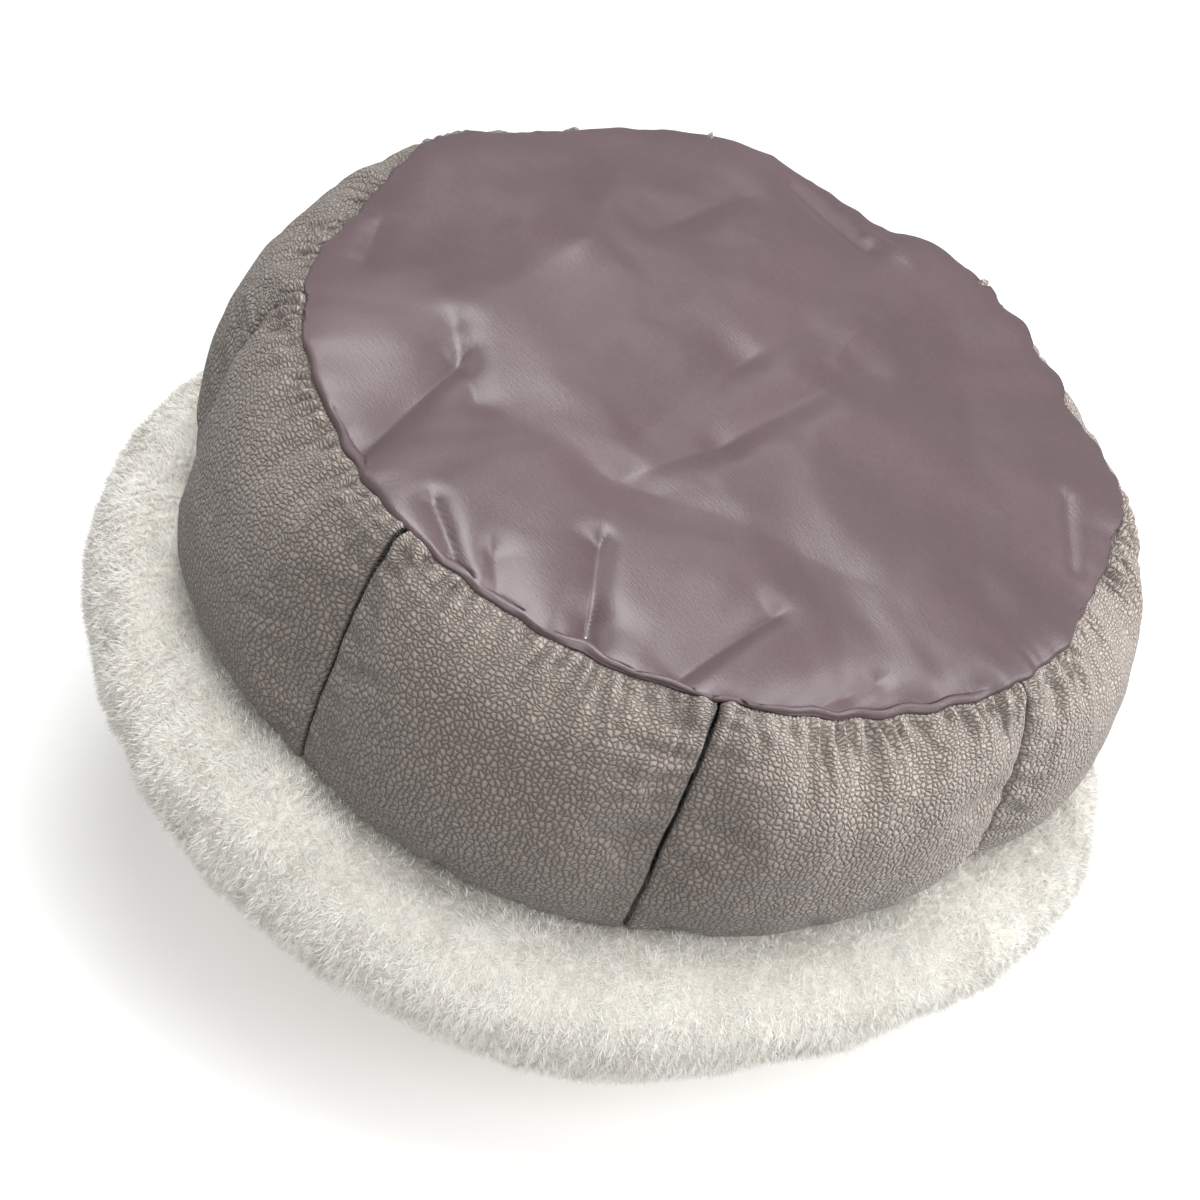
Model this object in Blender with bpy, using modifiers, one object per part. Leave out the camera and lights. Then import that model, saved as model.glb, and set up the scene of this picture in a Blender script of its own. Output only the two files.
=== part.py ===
"""Round pet cushion bed: a puffed wall of sewn panels on a flat base, a padded seat inside and a plush
collar round the rim that dips at the front. Metres, +Z up, the origin at the middle of the base."""

import math

import bmesh
import bpy

# Driving sizes. Every piece is worked out from these.
PANEL_COUNT = 8  # puffed panels round the wall
BASE_RADIUS = 0.190  # seam between the base and the wall
WALL_FLARE = 0.012  # how much wider the wall is at the collar than at the base
WALL_DEPTH = 0.040  # from the wall's base seam in to the seat's seam
BASE_THICKNESS = 0.002  # coated base cloth with its backing
WALL_TOP = 0.137  # height of the seam between the wall and the collar
WALL_PUFF = 0.025  # how far the middle of a panel stands out from its two seams
SEAM_PUFF = 0.011  # how far the wall stands out along a panel's upright seams
PANEL_CLOTH = 0.002  # embossed outer cloth with its backing
PLUSH_CLOTH = 0.008  # plush with its pile, as on the collar, the lining and the seat
COLLAR_OVERHANG = 0.007  # from the wall's top seam out to the middle of the collar's roll
COLLAR_HALF_WIDTH = 0.046
COLLAR_HALF_HEIGHT = 0.042
FRONT_DIP = 0.030  # how far the wall and the collar come down at the front
FRONT_SQUASH = 0.009  # how much thinner, top and bottom, the collar is at the front
FRONT_DIP_ANGLE = math.radians(33)  # spread of the dip, each way from the front
SEAT_EDGE = 0.040  # height of the seam between the seat and the lining
SEAT_CROWN = 0.018  # how far the middle of the seat stands above its seam
LINING_STEP = 0.012  # from the lining's top seam out to the wall's top seam
LINING_PUFF = 0.027  # how far the lining stands in at the middle of a panel
LINING_SEAM_PUFF = 0.018  # how far it stands in along an upright seam

CLOTH_GAP = 0.0003  # between pieces that touch
WADDING_CLEARANCE = 0.001  # between the wadding and the cloth round it
SEAM_SIDE_GAP = 0.002  # between a panel's upright seam and its wadding
COLLAR_SLIT = math.radians(14)  # half of the collar's slit, where it is sewn to the wall

STEPS_PER_PANEL = 6
CURVE_STEPS = 6  # up the wall and up the lining
COLLAR_STEPS = 11  # round the collar's section
SEAT_STEPS = 4  # out from the middle of the seat
TURN_STEPS = 48
PUFF_POWER = 2.6  # how boxy a panel is from seam to seam
FULLNESS = 0.8  # how boxy it is from base to collar

WALL_TOP_RADIUS = BASE_RADIUS + WALL_FLARE
COLLAR_RADIUS = WALL_TOP_RADIUS + COLLAR_OVERHANG
SEAT_RADIUS = BASE_RADIUS - WALL_DEPTH
LINING_TOP_RADIUS = WALL_TOP_RADIUS - LINING_STEP
PANEL_ANGLE = 2 * math.pi / PANEL_COUNT
FRONT_ANGLE = -math.pi / 2  # the front faces -Y, with an upright seam in its middle

FINISHES = {
    "base_satin": ((0.165, 0.118, 0.128), 0.32),
    "wall_microfibre": ((0.215, 0.185, 0.165), 0.85),
    "plush": ((0.83, 0.81, 0.75), 0.95),
    "wadding": ((0.86, 0.86, 0.84), 1.0),
}


def clear_scene():
    """Remove whatever the file holds."""
    for obj in list(bpy.data.objects):
        bpy.data.objects.remove(obj, do_unlink=True)


def finish(name):
    """Return the Principled material of that name, made on first use."""
    if name in bpy.data.materials:
        return bpy.data.materials[name]
    colour, roughness = FINISHES[name]
    material = bpy.data.materials.new(name)
    material.use_nodes = True
    shader = material.node_tree.nodes["Principled BSDF"]
    shader.inputs["Base Color"].default_value = (*colour, 1.0)
    shader.inputs["Roughness"].default_value = roughness
    shader.inputs["Metallic"].default_value = 0.0
    return material


def add_object(name, mesh, material, collection):
    """Put the mesh in the collection as an object with that material."""
    obj = bpy.data.objects.new(name, mesh)
    mesh.materials.append(finish(material))
    collection.objects.link(obj)
    return obj


def lerp(start, end, share):
    """Blend from start to end."""
    return start + (end - start) * share


def dip(angle):
    """Share of the front dip at this angle round the bed: 1 at the front, 0 behind."""
    off = math.remainder(angle - FRONT_ANGLE, 2 * math.pi)
    return math.exp(-((off / FRONT_DIP_ANGLE) ** 2))


def puff(angle):
    """Share of the puff at this angle: 0 at an upright seam, 1 at the middle of a panel."""
    off = (angle - FRONT_ANGLE) % PANEL_ANGLE
    across = 2 * off / PANEL_ANGLE - 1
    return 1 - abs(across) ** PUFF_POWER


def wall_top(angle):
    """Height of the seam between the wall and the collar."""
    return WALL_TOP - FRONT_DIP * dip(angle)


def bulged(low, high, reach, share):
    """A point on a curve between two (radius, height) seams that bulges by reach half way up."""
    swing = math.pi * (share - 0.5)
    middle = (low[1] + high[1]) / 2
    half = (high[1] - low[1]) / 2
    radius = lerp(low[0], high[0], share) + reach * math.cos(swing) ** FULLNESS
    return (radius, middle + half * math.sin(swing))


def wall_curve(angle):
    """The wall's outer face at this angle, from the base seam up to the collar."""
    reach = lerp(SEAM_PUFF, WALL_PUFF, puff(angle))
    low = (BASE_RADIUS, BASE_THICKNESS + CLOTH_GAP)
    high = (WALL_TOP_RADIUS, wall_top(angle))
    return [bulged(low, high, reach, i / CURVE_STEPS) for i in range(CURVE_STEPS + 1)]


def lining_curve(angle):
    """The lining's inner face at this angle, from the seat seam up to the collar."""
    reach = -lerp(LINING_SEAM_PUFF, LINING_PUFF, puff(angle))
    low = (SEAT_RADIUS + CLOTH_GAP, SEAT_EDGE + CLOTH_GAP)
    high = (LINING_TOP_RADIUS, wall_top(angle))
    return [bulged(low, high, reach, i / CURVE_STEPS) for i in range(CURVE_STEPS + 1)]


def inset(curve, distance):
    """Move an open curve to the left of its direction by distance, square to itself."""
    moved = []
    for i, (radius, height) in enumerate(curve):
        before = curve[max(i - 1, 0)]
        after = curve[min(i + 1, len(curve) - 1)]
        along = (after[0] - before[0], after[1] - before[1])
        length = math.hypot(*along)
        moved.append((radius - along[1] / length * distance, height + along[0] / length * distance))
    return moved


def clamp_heights(curve, low, high):
    """Keep an open curve between two heights."""
    return [(radius, min(max(height, low), high)) for radius, height in curve]


def band(curve, thickness, low, high):
    """Closed section of a cloth of this thickness, on the left of the curve, between two heights."""
    back = clamp_heights(inset(curve, thickness), low, high)
    return curve + back[::-1]


def wadding_section(angle):
    """Closed section of the wadding between the wall's cloth, the lining, the base and the collar."""
    top = wall_top(angle) - PANEL_CLOTH - WADDING_CLEARANCE
    floor = BASE_THICKNESS + WADDING_CLEARANCE
    outer = inset(wall_curve(angle), PANEL_CLOTH + WADDING_CLEARANCE)
    outer = clamp_heights(outer, floor + PANEL_CLOTH, top)
    inner = inset(lining_curve(angle)[::-1], PLUSH_CLOTH + WADDING_CLEARANCE)
    inner = clamp_heights(inner, SEAT_EDGE, top)
    foot = [(SEAT_RADIUS + PLUSH_CLOTH, floor), (outer[0][0] - PANEL_CLOTH, floor)]
    return outer + inner + foot


def collar_section(angle, shrink, start, end, steps):
    """Points round the collar's section, shrunk by a thickness, from one swing to another."""
    squash = FRONT_SQUASH * dip(angle)
    half_width = COLLAR_HALF_WIDTH - shrink
    half_height = COLLAR_HALF_HEIGHT - squash - shrink
    middle = wall_top(angle) + CLOTH_GAP + COLLAR_HALF_HEIGHT - squash
    points = []
    for i in range(steps + 1):
        swing = lerp(start, end, i / steps)
        points.append((COLLAR_RADIUS + half_width * math.cos(swing), middle + half_height * math.sin(swing)))
    return points


def collar_cover_section(angle):
    """Closed section of the collar's cloth: a ring with a slit below, where it is sewn to the wall."""
    start = -math.pi / 2 + COLLAR_SLIT
    end = 1.5 * math.pi - COLLAR_SLIT
    outer = collar_section(angle, 0.0, start, end, COLLAR_STEPS)
    inner = collar_section(angle, PLUSH_CLOTH, start, end, COLLAR_STEPS)
    return outer + inner[::-1]


def collar_fill_section(angle):
    """Closed section of the collar's filling, clear of its cloth and of the wall."""
    start = -math.pi / 2 + COLLAR_SLIT
    end = 1.5 * math.pi - COLLAR_SLIT
    return collar_section(angle, PLUSH_CLOTH + WADDING_CLEARANCE, start, end, COLLAR_STEPS)


def loft(name, sections, angles, is_ring, material, collection):
    """Make a solid through closed (radius, height) sections, each standing at its own angle.

    The wall's pieces change section all the way round, so this joins unlike sections face by face.
    """
    form = bmesh.new()
    rings = []
    for section, angle in zip(sections, angles):
        spoke = (math.cos(angle), math.sin(angle))
        rings.append([form.verts.new((r * spoke[0], r * spoke[1], z)) for r, z in section])
    joins = list(zip(rings, rings[1:]))
    if is_ring:
        joins.append((rings[-1], rings[0]))
    else:
        form.faces.new(rings[0])
        form.faces.new(rings[-1][::-1])
    for here, there in joins:
        for i, corner in enumerate(here):
            form.faces.new((corner, here[i - 1], there[i - 1], there[i]))
    bmesh.ops.triangulate(form, faces=form.faces, ngon_method="EAR_CLIP")
    bmesh.ops.recalc_face_normals(form, faces=form.faces)
    mesh = bpy.data.meshes.new(name)
    form.to_mesh(mesh)
    form.free()
    mesh.shade_smooth()
    mesh.set_sharp_from_angle(angle=math.radians(50))
    return add_object(name, mesh, material, collection)


def turn(name, profile, material, collection):
    """Turn a (radius, height) profile, given top to bottom on its outer side, about the Z axis."""
    mesh = bpy.data.meshes.new(name)
    points = [(radius, 0.0, height) for radius, height in profile]
    edges = [(i, i + 1) for i in range(len(points) - 1)]
    mesh.from_pydata(points, edges, [])
    obj = add_object(name, mesh, material, collection)
    screw = obj.modifiers.new("Turn", "SCREW")
    screw.steps = TURN_STEPS
    screw.render_steps = TURN_STEPS
    screw.use_merge_vertices = True
    screw.merge_threshold = 0.0001
    screw.use_smooth_shade = True
    return obj


def seat_top(radius):
    """Height of the seat's upper face."""
    return SEAT_EDGE + SEAT_CROWN * (1 - (radius / SEAT_RADIUS) ** 2)


def panel_angles(index):
    """The angles at which a panel has sections: its two seams, its wadding's ends and steps between."""
    seam = FRONT_ANGLE + index * PANEL_ANGLE
    side = SEAM_SIDE_GAP / WALL_TOP_RADIUS
    steps = [seam + PANEL_ANGLE * i / STEPS_PER_PANEL for i in range(1, STEPS_PER_PANEL)]
    hairline = CLOTH_GAP / 2 / BASE_RADIUS
    end = seam + PANEL_ANGLE
    return [seam + hairline, seam + side, *steps, end - side, end - hairline]


def ring_angles():
    """Every angle at which a piece of the wall has a section, so that neighbours never cross."""
    return [angle for index in range(PANEL_COUNT) for angle in panel_angles(index)]


def add_base(collection):
    """The flat coated cloth that the bed stands on, out to the wall's seam."""
    top = BASE_THICKNESS
    edge = BASE_RADIUS - BASE_THICKNESS / 2
    profile = [(0.0, top), (edge, top), (BASE_RADIUS, top / 2), (edge, 0.0), (0.0, 0.0)]
    turn("base_panel", profile, "base_satin", collection)


def add_seat(collection):
    """The crowned seat: a filling on the base and its plush cover, sewn to the lining at its edge."""
    radii = [SEAT_RADIUS * i / SEAT_STEPS for i in range(SEAT_STEPS + 1)]
    top = [(radius, seat_top(radius)) for radius in radii]
    back = [(radius, height - PLUSH_CLOTH) for radius, height in top]
    turn("seat_cover", top + back[::-1], "plush", collection)
    crown = [(radius, height - CLOTH_GAP) for radius, height in back]
    floor = BASE_THICKNESS + CLOTH_GAP
    turn("seat_fill", crown + [(SEAT_RADIUS, floor), (0.0, floor)], "wadding", collection)


def add_wall(collection):
    """The outer panels and the wadding behind each one."""
    floor = BASE_THICKNESS + CLOTH_GAP
    for index in range(PANEL_COUNT):
        angles = panel_angles(index)
        sections = []
        for angle in angles:
            sections.append(band(wall_curve(angle), PANEL_CLOTH, floor, wall_top(angle)))
        name = f"wall_panel_{index + 1}"
        loft(name, sections, angles, False, "wall_microfibre", collection)
        inside = angles[1:-1]
        sections = [wadding_section(angle) for angle in inside]
        loft(f"wall_wadding_{index + 1}", sections, inside, False, "wadding", collection)


def add_lining(collection):
    """The plush lining round the inside of the wall, from the seat up to the collar."""
    angles = ring_angles()
    sections = []
    for angle in angles:
        curve = lining_curve(angle)[::-1]
        sections.append(band(curve, PLUSH_CLOTH, SEAT_EDGE + CLOTH_GAP, wall_top(angle)))
    loft("wall_lining", sections, angles, True, "plush", collection)


def add_collar(collection):
    """The plush roll round the rim and its filling."""
    angles = ring_angles()
    cover = [collar_cover_section(angle) for angle in angles]
    loft("collar_cover", cover, angles, True, "plush", collection)
    filling = [collar_fill_section(angle) for angle in angles]
    loft("collar_fill", filling, angles, True, "wadding", collection)


def main():
    """Build the bed."""
    clear_scene()
    bed = bpy.data.collections.new("pet_cushion_bed")
    bpy.context.scene.collection.children.link(bed)
    add_base(bed)
    add_seat(bed)
    add_wall(bed)
    add_lining(bed)
    add_collar(bed)


main()
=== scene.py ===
"""The looks of a round pet cushion bed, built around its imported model.

The bed stands on its base in the model's frame, with the open well and the plush collar on top. The studio
is one rigid set of camera, floor and lamps that looks at the bed turned over and tipped on its collar.
"""

import logging
import math
from dataclasses import dataclass
from enum import Enum

import bpy
import numpy as np
from mathutils import Matrix, Vector


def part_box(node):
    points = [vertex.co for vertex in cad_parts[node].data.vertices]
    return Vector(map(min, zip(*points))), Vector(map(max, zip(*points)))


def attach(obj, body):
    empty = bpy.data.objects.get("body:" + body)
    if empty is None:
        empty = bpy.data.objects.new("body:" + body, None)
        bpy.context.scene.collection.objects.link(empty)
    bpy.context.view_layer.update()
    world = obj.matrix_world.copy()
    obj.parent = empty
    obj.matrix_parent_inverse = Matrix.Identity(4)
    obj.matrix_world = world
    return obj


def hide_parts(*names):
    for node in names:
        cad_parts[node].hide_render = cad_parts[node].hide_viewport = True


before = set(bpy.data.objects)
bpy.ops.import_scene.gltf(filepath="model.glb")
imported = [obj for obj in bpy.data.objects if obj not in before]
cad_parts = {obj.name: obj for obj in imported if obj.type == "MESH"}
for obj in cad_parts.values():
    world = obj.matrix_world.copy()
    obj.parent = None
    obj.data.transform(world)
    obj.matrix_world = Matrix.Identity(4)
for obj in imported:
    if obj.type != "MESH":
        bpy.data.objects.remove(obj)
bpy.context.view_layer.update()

LOG = logging.getLogger("pet_cushion_bed")
BODY = "root"
PANEL_COUNT = 8
PANEL_ANGLE = 2 * math.pi / PANEL_COUNT
FRONT_ANGLE = -math.pi / 2
CLOTH_MAP = "cloth"
PILE_PRESS = 0.004  # how far the studio's floor is set into the lowest pile, in metres
# Steps that spread points evenly three ways: 1/g, 1/g**2 and 1/g**3, where g**4 = g + 1.
SPREAD_STEPS = (0.8191725133961645, 0.6710436067037893, 0.5497004779019703)
SEED_STRIDE = 7919  # how many steps on each seed starts

Numbers = float | np.ndarray
Colour = tuple[float, float, float]


# ---------------------------------------------------------------- numbers


def lerp(start: Numbers, end: Numbers, share: Numbers) -> Numbers:
    """Blend from start, where share is 0, to end, where it is 1."""
    return start + (end - start) * share


def smooth(low: float, high: float, value: np.ndarray) -> np.ndarray:
    """Ramp smoothly from 0, where a value is low, to 1, where it is high."""
    share = np.clip((value - low) / (high - low), 0.0, 1.0)
    return share * share * (3 - 2 * share)


@dataclass(frozen=True)
class Noise:
    """Repeatable smooth noise in space.

    Attributes:
        seed: Picks one pattern.
    """

    seed: int

    def lattice(self, cells: np.ndarray, salt: int = 0) -> np.ndarray:
        """Give each whole-numbered cell a fixed value.

        Args:
            cells: Whole numbers, three to a row.
            salt: Picks an independent value for the same cell.

        Returns:
            One value from -1 to 1 for each row.
        """
        mixed = cells[..., 0] * 73856093 ^ cells[..., 1] * 19349663 ^ cells[..., 2] * 83492791
        mixed = (mixed ^ (self.seed * 15485863 + salt * 32452843)) & 0x7FFFFFFF
        for factor in (0x45D9F3B, 0x119DE1F3):
            mixed = ((mixed ^ (mixed >> 16)) * factor) & 0x7FFFFFFF
        return (mixed & 0xFFFF) / 32767.5 - 1.0

    def at(self, points: np.ndarray, size: float) -> np.ndarray:
        """Read the noise.

        Args:
            points: Places in metres, three to a row.
            size: Size of its lumps, in metres.

        Returns:
            One value from -1 to 1 for each place.
        """
        spots = points / size
        cells = np.floor(spots).astype(np.int64)
        blend = spots - cells
        blend = blend * blend * (3 - 2 * blend)
        total = np.zeros(len(points))
        for corner in range(8):
            step = np.array([corner & 1, corner >> 1 & 1, corner >> 2 & 1])
            weight = np.prod(np.where(step, blend, 1 - blend), axis=1)
            total += weight * self.lattice(cells + step)
        return total

    def rough(self, points: np.ndarray, size: float, octaves: int = 3) -> np.ndarray:
        """Read the noise with finer and fainter lumps added.

        Args:
            points: Places in metres, three to a row.
            size: Size of its largest lumps, in metres.
            octaves: How many sizes are added, each half the last.

        Returns:
            One value for each place, mostly from -1 to 1.
        """
        total = np.zeros(len(points))
        for octave in range(octaves):
            total += self.at(points + 7.3 * octave, size / 2**octave) / 2**octave
        return total / 1.5


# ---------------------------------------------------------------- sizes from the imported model


def cad_points(node: str) -> np.ndarray:
    """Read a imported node's corners.

    Args:
        node: The node's name.

    Returns:
        Its corners in metres, three numbers to a row.
    """
    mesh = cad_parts[node].data
    places = np.empty(len(mesh.vertices) * 3, np.float32)
    mesh.vertices.foreach_get("co", places)
    return places.reshape(-1, 3).astype(float)


@dataclass(frozen=True)
class BedSizes:
    """The bed's main sizes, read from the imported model, in metres.

    Attributes:
        base_radius: Radius of the seam between the base and the wall.
        wall_low: Height of the wall's lower seam.
        wall_top: Height of the wall's upper seam, behind.
        wall_top_radius: Radius of that seam.
        wall_radius: The wall's greatest radius.
        front_drop: How far that seam comes down at the front.
        collar_radius: Radius of the middle of the collar's roll.
        collar_half_width: Half of the roll's width.
        collar_half_height: Half of its height, behind.
        collar_squash: How much less that half height is at the front.
        seat_radius: Radius of the seat's seam.
        seat_edge: Height of that seam.
        seat_crown: Height of the middle of the seat above it.
        lining_top_radius: Radius of the lining's upper seam.
        lining_radius: The lining's least radius.
    """

    base_radius: float
    wall_low: float
    wall_top: float
    wall_top_radius: float
    wall_radius: float
    front_drop: float
    collar_radius: float
    collar_half_width: float
    collar_half_height: float
    collar_squash: float
    seat_radius: float
    seat_edge: float
    seat_crown: float
    lining_top_radius: float
    lining_radius: float

    @classmethod
    def from_frame(cls) -> "BedSizes":
        """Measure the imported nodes."""
        wall = cad_points("wall_panel_5")
        front = cad_points("wall_panel_1")
        collar = cad_points("collar_cover")
        seat = cad_points("seat_cover")
        lining = cad_points("wall_lining")
        top = wall[wall[:, 2].argmax()]
        across = np.hypot(collar[:, 0], collar[:, 1])
        middle_line = collar[np.abs(collar[:, 0]) < 0.01]
        rear_half = np.ptp(middle_line[middle_line[:, 1] > 0, 2]) / 2
        front_half = np.ptp(middle_line[middle_line[:, 1] < 0, 2]) / 2
        seam = front[np.hypot(front[:, 0], front[:, 1] + np.hypot(*top[:2])) < 0.012]
        seat_across = np.hypot(seat[:, 0], seat[:, 1])
        lining_top = lining[lining[:, 2].argmax()]
        return cls(
            base_radius=float(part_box("base_panel")[1].x),
            wall_low=float(wall[:, 2].min()),
            wall_top=float(top[2]),
            wall_top_radius=float(np.hypot(*top[:2])),
            wall_radius=float(np.hypot(wall[:, 0], wall[:, 1]).max()),
            front_drop=float(top[2] - seam[:, 2].max()),
            collar_radius=float((across.max() + across.min()) / 2),
            collar_half_width=float(np.ptp(across) / 2),
            collar_half_height=float(rear_half),
            collar_squash=float(rear_half - front_half),
            seat_radius=float(seat_across.max()),
            seat_edge=float(seat[seat_across > 0.99 * seat_across.max(), 2].max()),
            seat_crown=float(np.ptp(seat[:, 2]) - 0.008),
            lining_top_radius=float(np.hypot(*lining_top[:2])),
            lining_radius=float(np.hypot(lining[:, 0], lining[:, 1]).min()),
        )


@dataclass(frozen=True)
class BedForm:
    """The bed's smooth form: where each seam runs and how each piece bulges, before cloth and pile.

    Attributes:
        sizes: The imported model's sizes.
        dip_spread: Spread of the front dip each way, as an angle.
        panel_boxiness: How boxy a panel is from seam to seam.
        panel_edge: How steeply a panel turns down into its seams, steeper when less.
        fullness: How boxy the wall is from base to collar.
        seam_reach: How far the wall stands out along its upright seams.
        scallop_out: How far the base seam swings out at an upright seam and in at mid panel.
        scallop_lift: How far a panel's puff lifts the base seam at mid panel.
        stitch_ripple: How far the base seam wavers from stitch to stitch.
        wander: How far the upright seams wander sideways, as an angle.
        lining_seam: Share of the lining's puff that is left along its upright seams.
    """

    sizes: BedSizes
    dip_spread: float = math.radians(33)
    panel_boxiness: float = 2.7
    panel_edge: float = 0.64
    fullness: float = 0.72
    seam_reach: float = 0.0105
    scallop_out: float = 0.0028
    scallop_lift: float = 0.006
    stitch_ripple: float = 0.0007
    wander: float = 0.0030
    lining_seam: float = 0.45

    def dip(self, angle: np.ndarray) -> np.ndarray:
        """Share of the front dip at these angles round the bed."""
        off = np.remainder(angle - FRONT_ANGLE + math.pi, 2 * math.pi) - math.pi
        return np.exp(-((off / self.dip_spread) ** 2))

    def puff(self, angle: np.ndarray) -> np.ndarray:
        """Share of the puff at these angles: 0 at an upright seam and 1 at mid panel."""
        across = 2 * np.remainder(angle - FRONT_ANGLE, PANEL_ANGLE) / PANEL_ANGLE - 1
        return (1 - np.clip(np.abs(across), 0, 1) ** self.panel_boxiness) ** self.panel_edge

    def wall_top(self, angle: np.ndarray) -> np.ndarray:
        """Height of the seam between the wall and the collar."""
        return self.sizes.wall_top - self.sizes.front_drop * self.dip(angle)

    def scallop(self, angle: np.ndarray) -> np.ndarray:
        """Swing of the base seam, 1 at an upright seam and -1 at mid panel, a little uneven."""
        even = np.cos(PANEL_COUNT * (angle - FRONT_ANGLE))
        return even + 0.35 * np.sin(3 * angle + 1.1) + 0.25 * np.sin(13 * angle + 0.4)

    def wobble(self, angle: np.ndarray, share: np.ndarray) -> np.ndarray:
        """How far the upright seams stray sideways this far up, as an angle."""
        slow = np.sin(4.1 * share + 2.3 * np.sin(angle) + 1.7)
        quick = 0.5 * np.sin(15 * share + 3 * np.cos(2 * angle))
        quick += 0.3 * np.sin(33 * share + 5 * np.sin(angle))
        return self.wander * (slow + quick) * np.sin(math.pi * share)

    def base_seam(self, angle: np.ndarray) -> tuple[np.ndarray, np.ndarray]:
        """Follow the base seam.

        Args:
            angle: Angles round the bed.

        Returns:
            The seam's radius and height at each angle.
        """
        swing = self.scallop(angle)
        stitches = np.sin(41 * angle + 2 * np.sin(5 * angle))
        stitches += 0.7 * np.sin(67 * angle + 3 * np.cos(4 * angle))
        radius = self.sizes.base_radius + self.scallop_out * swing + self.stitch_ripple * stitches
        height = self.sizes.wall_low + self.scallop_lift * (1 - swing) / 2
        return radius, height

    def wall(self, angle: np.ndarray, share: np.ndarray) -> np.ndarray:
        """Place points on the outer face of the wall.

        Args:
            angle: Angles round the bed.
            share: How far up from the base seam, 0 to 1.

        Returns:
            Places, three numbers to a row.
        """
        sizes = self.sizes
        base_radius, base_height = self.base_seam(angle)
        middle_radius = (sizes.base_radius + sizes.wall_top_radius) / 2
        full_reach = sizes.wall_radius - middle_radius
        reach = lerp(self.seam_reach, full_reach, self.puff(angle))
        swing = math.pi * (share - 0.5)
        bow = np.clip(np.cos(swing), 0, 1) ** self.fullness
        radius = lerp(base_radius, sizes.wall_top_radius, share) + reach * bow
        top = self.wall_top(angle)
        height = (base_height + top) / 2 + (top - base_height) / 2 * np.sin(swing)
        return around(angle + self.wobble(angle, share), radius, height)

    def lining(self, angle: np.ndarray, share: np.ndarray) -> np.ndarray:
        """Place points on the inner face of the lining, as wall does for the outer face."""
        sizes = self.sizes
        middle_radius = (sizes.seat_radius + sizes.lining_top_radius) / 2
        full_reach = middle_radius - sizes.lining_radius
        reach = lerp(self.lining_seam * full_reach, full_reach, self.puff(angle))
        swing = math.pi * (share - 0.5)
        bow = np.clip(np.cos(swing), 0, 1) ** self.fullness
        radius = lerp(sizes.seat_radius, sizes.lining_top_radius, share) - reach * bow
        top = self.wall_top(angle)
        height = (sizes.seat_edge + top) / 2 + (top - sizes.seat_edge) / 2 * np.sin(swing)
        return around(angle, radius, height)

    def collar(self, angle: np.ndarray, swing: np.ndarray, depth: float) -> np.ndarray:
        """Place points on the collar's roll.

        Args:
            angle: Angles round the bed.
            swing: Angles round the roll's section, 0 at its outermost.
            depth: How far inside the roll's surface, in metres.

        Returns:
            Places, three numbers to a row.
        """
        sizes = self.sizes
        squash = sizes.collar_squash * self.dip(angle)
        half_height = sizes.collar_half_height - squash
        middle = self.wall_top(angle) + half_height
        radius = sizes.collar_radius + (sizes.collar_half_width - depth) * np.cos(swing)
        return around(angle, radius, middle + (half_height - depth) * np.sin(swing))


def around(angle: np.ndarray, radius: np.ndarray, height: np.ndarray) -> np.ndarray:
    """Turn angles, radii and heights into places."""
    return np.stack([radius * np.cos(angle), radius * np.sin(angle), height], axis=-1)


# ---------------------------------------------------------------- mesh work


def points_of(piece: bpy.types.Object) -> np.ndarray:
    """Read a mesh's corners, three numbers to a row."""
    places = np.empty(len(piece.data.vertices) * 3, np.float32)
    piece.data.vertices.foreach_get("co", places)
    return places.reshape(-1, 3).astype(float)


def set_points(piece: bpy.types.Object, places: np.ndarray) -> None:
    """Move a mesh's corners to these places."""
    piece.data.vertices.foreach_set("co", places.astype(np.float32).ravel())
    piece.data.update()


def normals_of(piece: bpy.types.Object) -> np.ndarray:
    """Read a mesh's normals at its corners, three numbers to a row."""
    normals = np.empty(len(piece.data.vertices) * 3, np.float32)
    piece.data.vertex_normals.foreach_get("vector", normals)
    return normals.reshape(-1, 3)


def select_only(piece: bpy.types.Object) -> None:
    """Select one piece and nothing else."""
    bpy.ops.object.select_all(action="DESELECT")
    piece.select_set(True)
    bpy.context.view_layer.objects.active = piece


def named(name: str) -> bpy.types.Object:
    """Name the object just added, and return it."""
    piece = bpy.context.object
    piece.name = piece.data.name = name
    return piece


def add_grid(name: str, across: int, along: int) -> bpy.types.Object:
    """Add a grid 1 m on a side about the origin.

    Args:
        name: The new piece's name.
        across: How many cells it has along X.
        along: How many it has along Y.

    Returns:
        The new piece.
    """
    bpy.ops.object.select_all(action="DESELECT")
    bpy.ops.mesh.primitive_grid_add(x_subdivisions=across, y_subdivisions=along, size=1)
    return named(name)


def add_ring(name: str, around_steps: int, section_steps: int) -> bpy.types.Object:
    """Add a torus whose middle line has a radius of 1 m and whose section one of 0.5 m."""
    bpy.ops.object.select_all(action="DESELECT")
    bpy.ops.mesh.primitive_torus_add(
        major_segments=around_steps, minor_segments=section_steps, major_radius=1, minor_radius=0.5
    )
    return named(name)


def apply_modifiers(piece: bpy.types.Object) -> None:
    """Apply every modifier of a piece, in order."""
    select_only(piece)
    for modifier in list(piece.modifiers):
        bpy.ops.object.modifier_apply(modifier=modifier.name)


def give_thickness(piece: bpy.types.Object, thickness: float) -> None:
    """Turn a sheet into closed cloth.

    Args:
        piece: The sheet, whose faces point to its outer side.
        thickness: The cloth's thickness, laid on the inner side.
    """
    solidify = piece.modifiers.new("thickness", "SOLIDIFY")
    solidify.thickness = thickness
    solidify.offset = -1
    apply_modifiers(piece)
    piece.data.shade_smooth()


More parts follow.
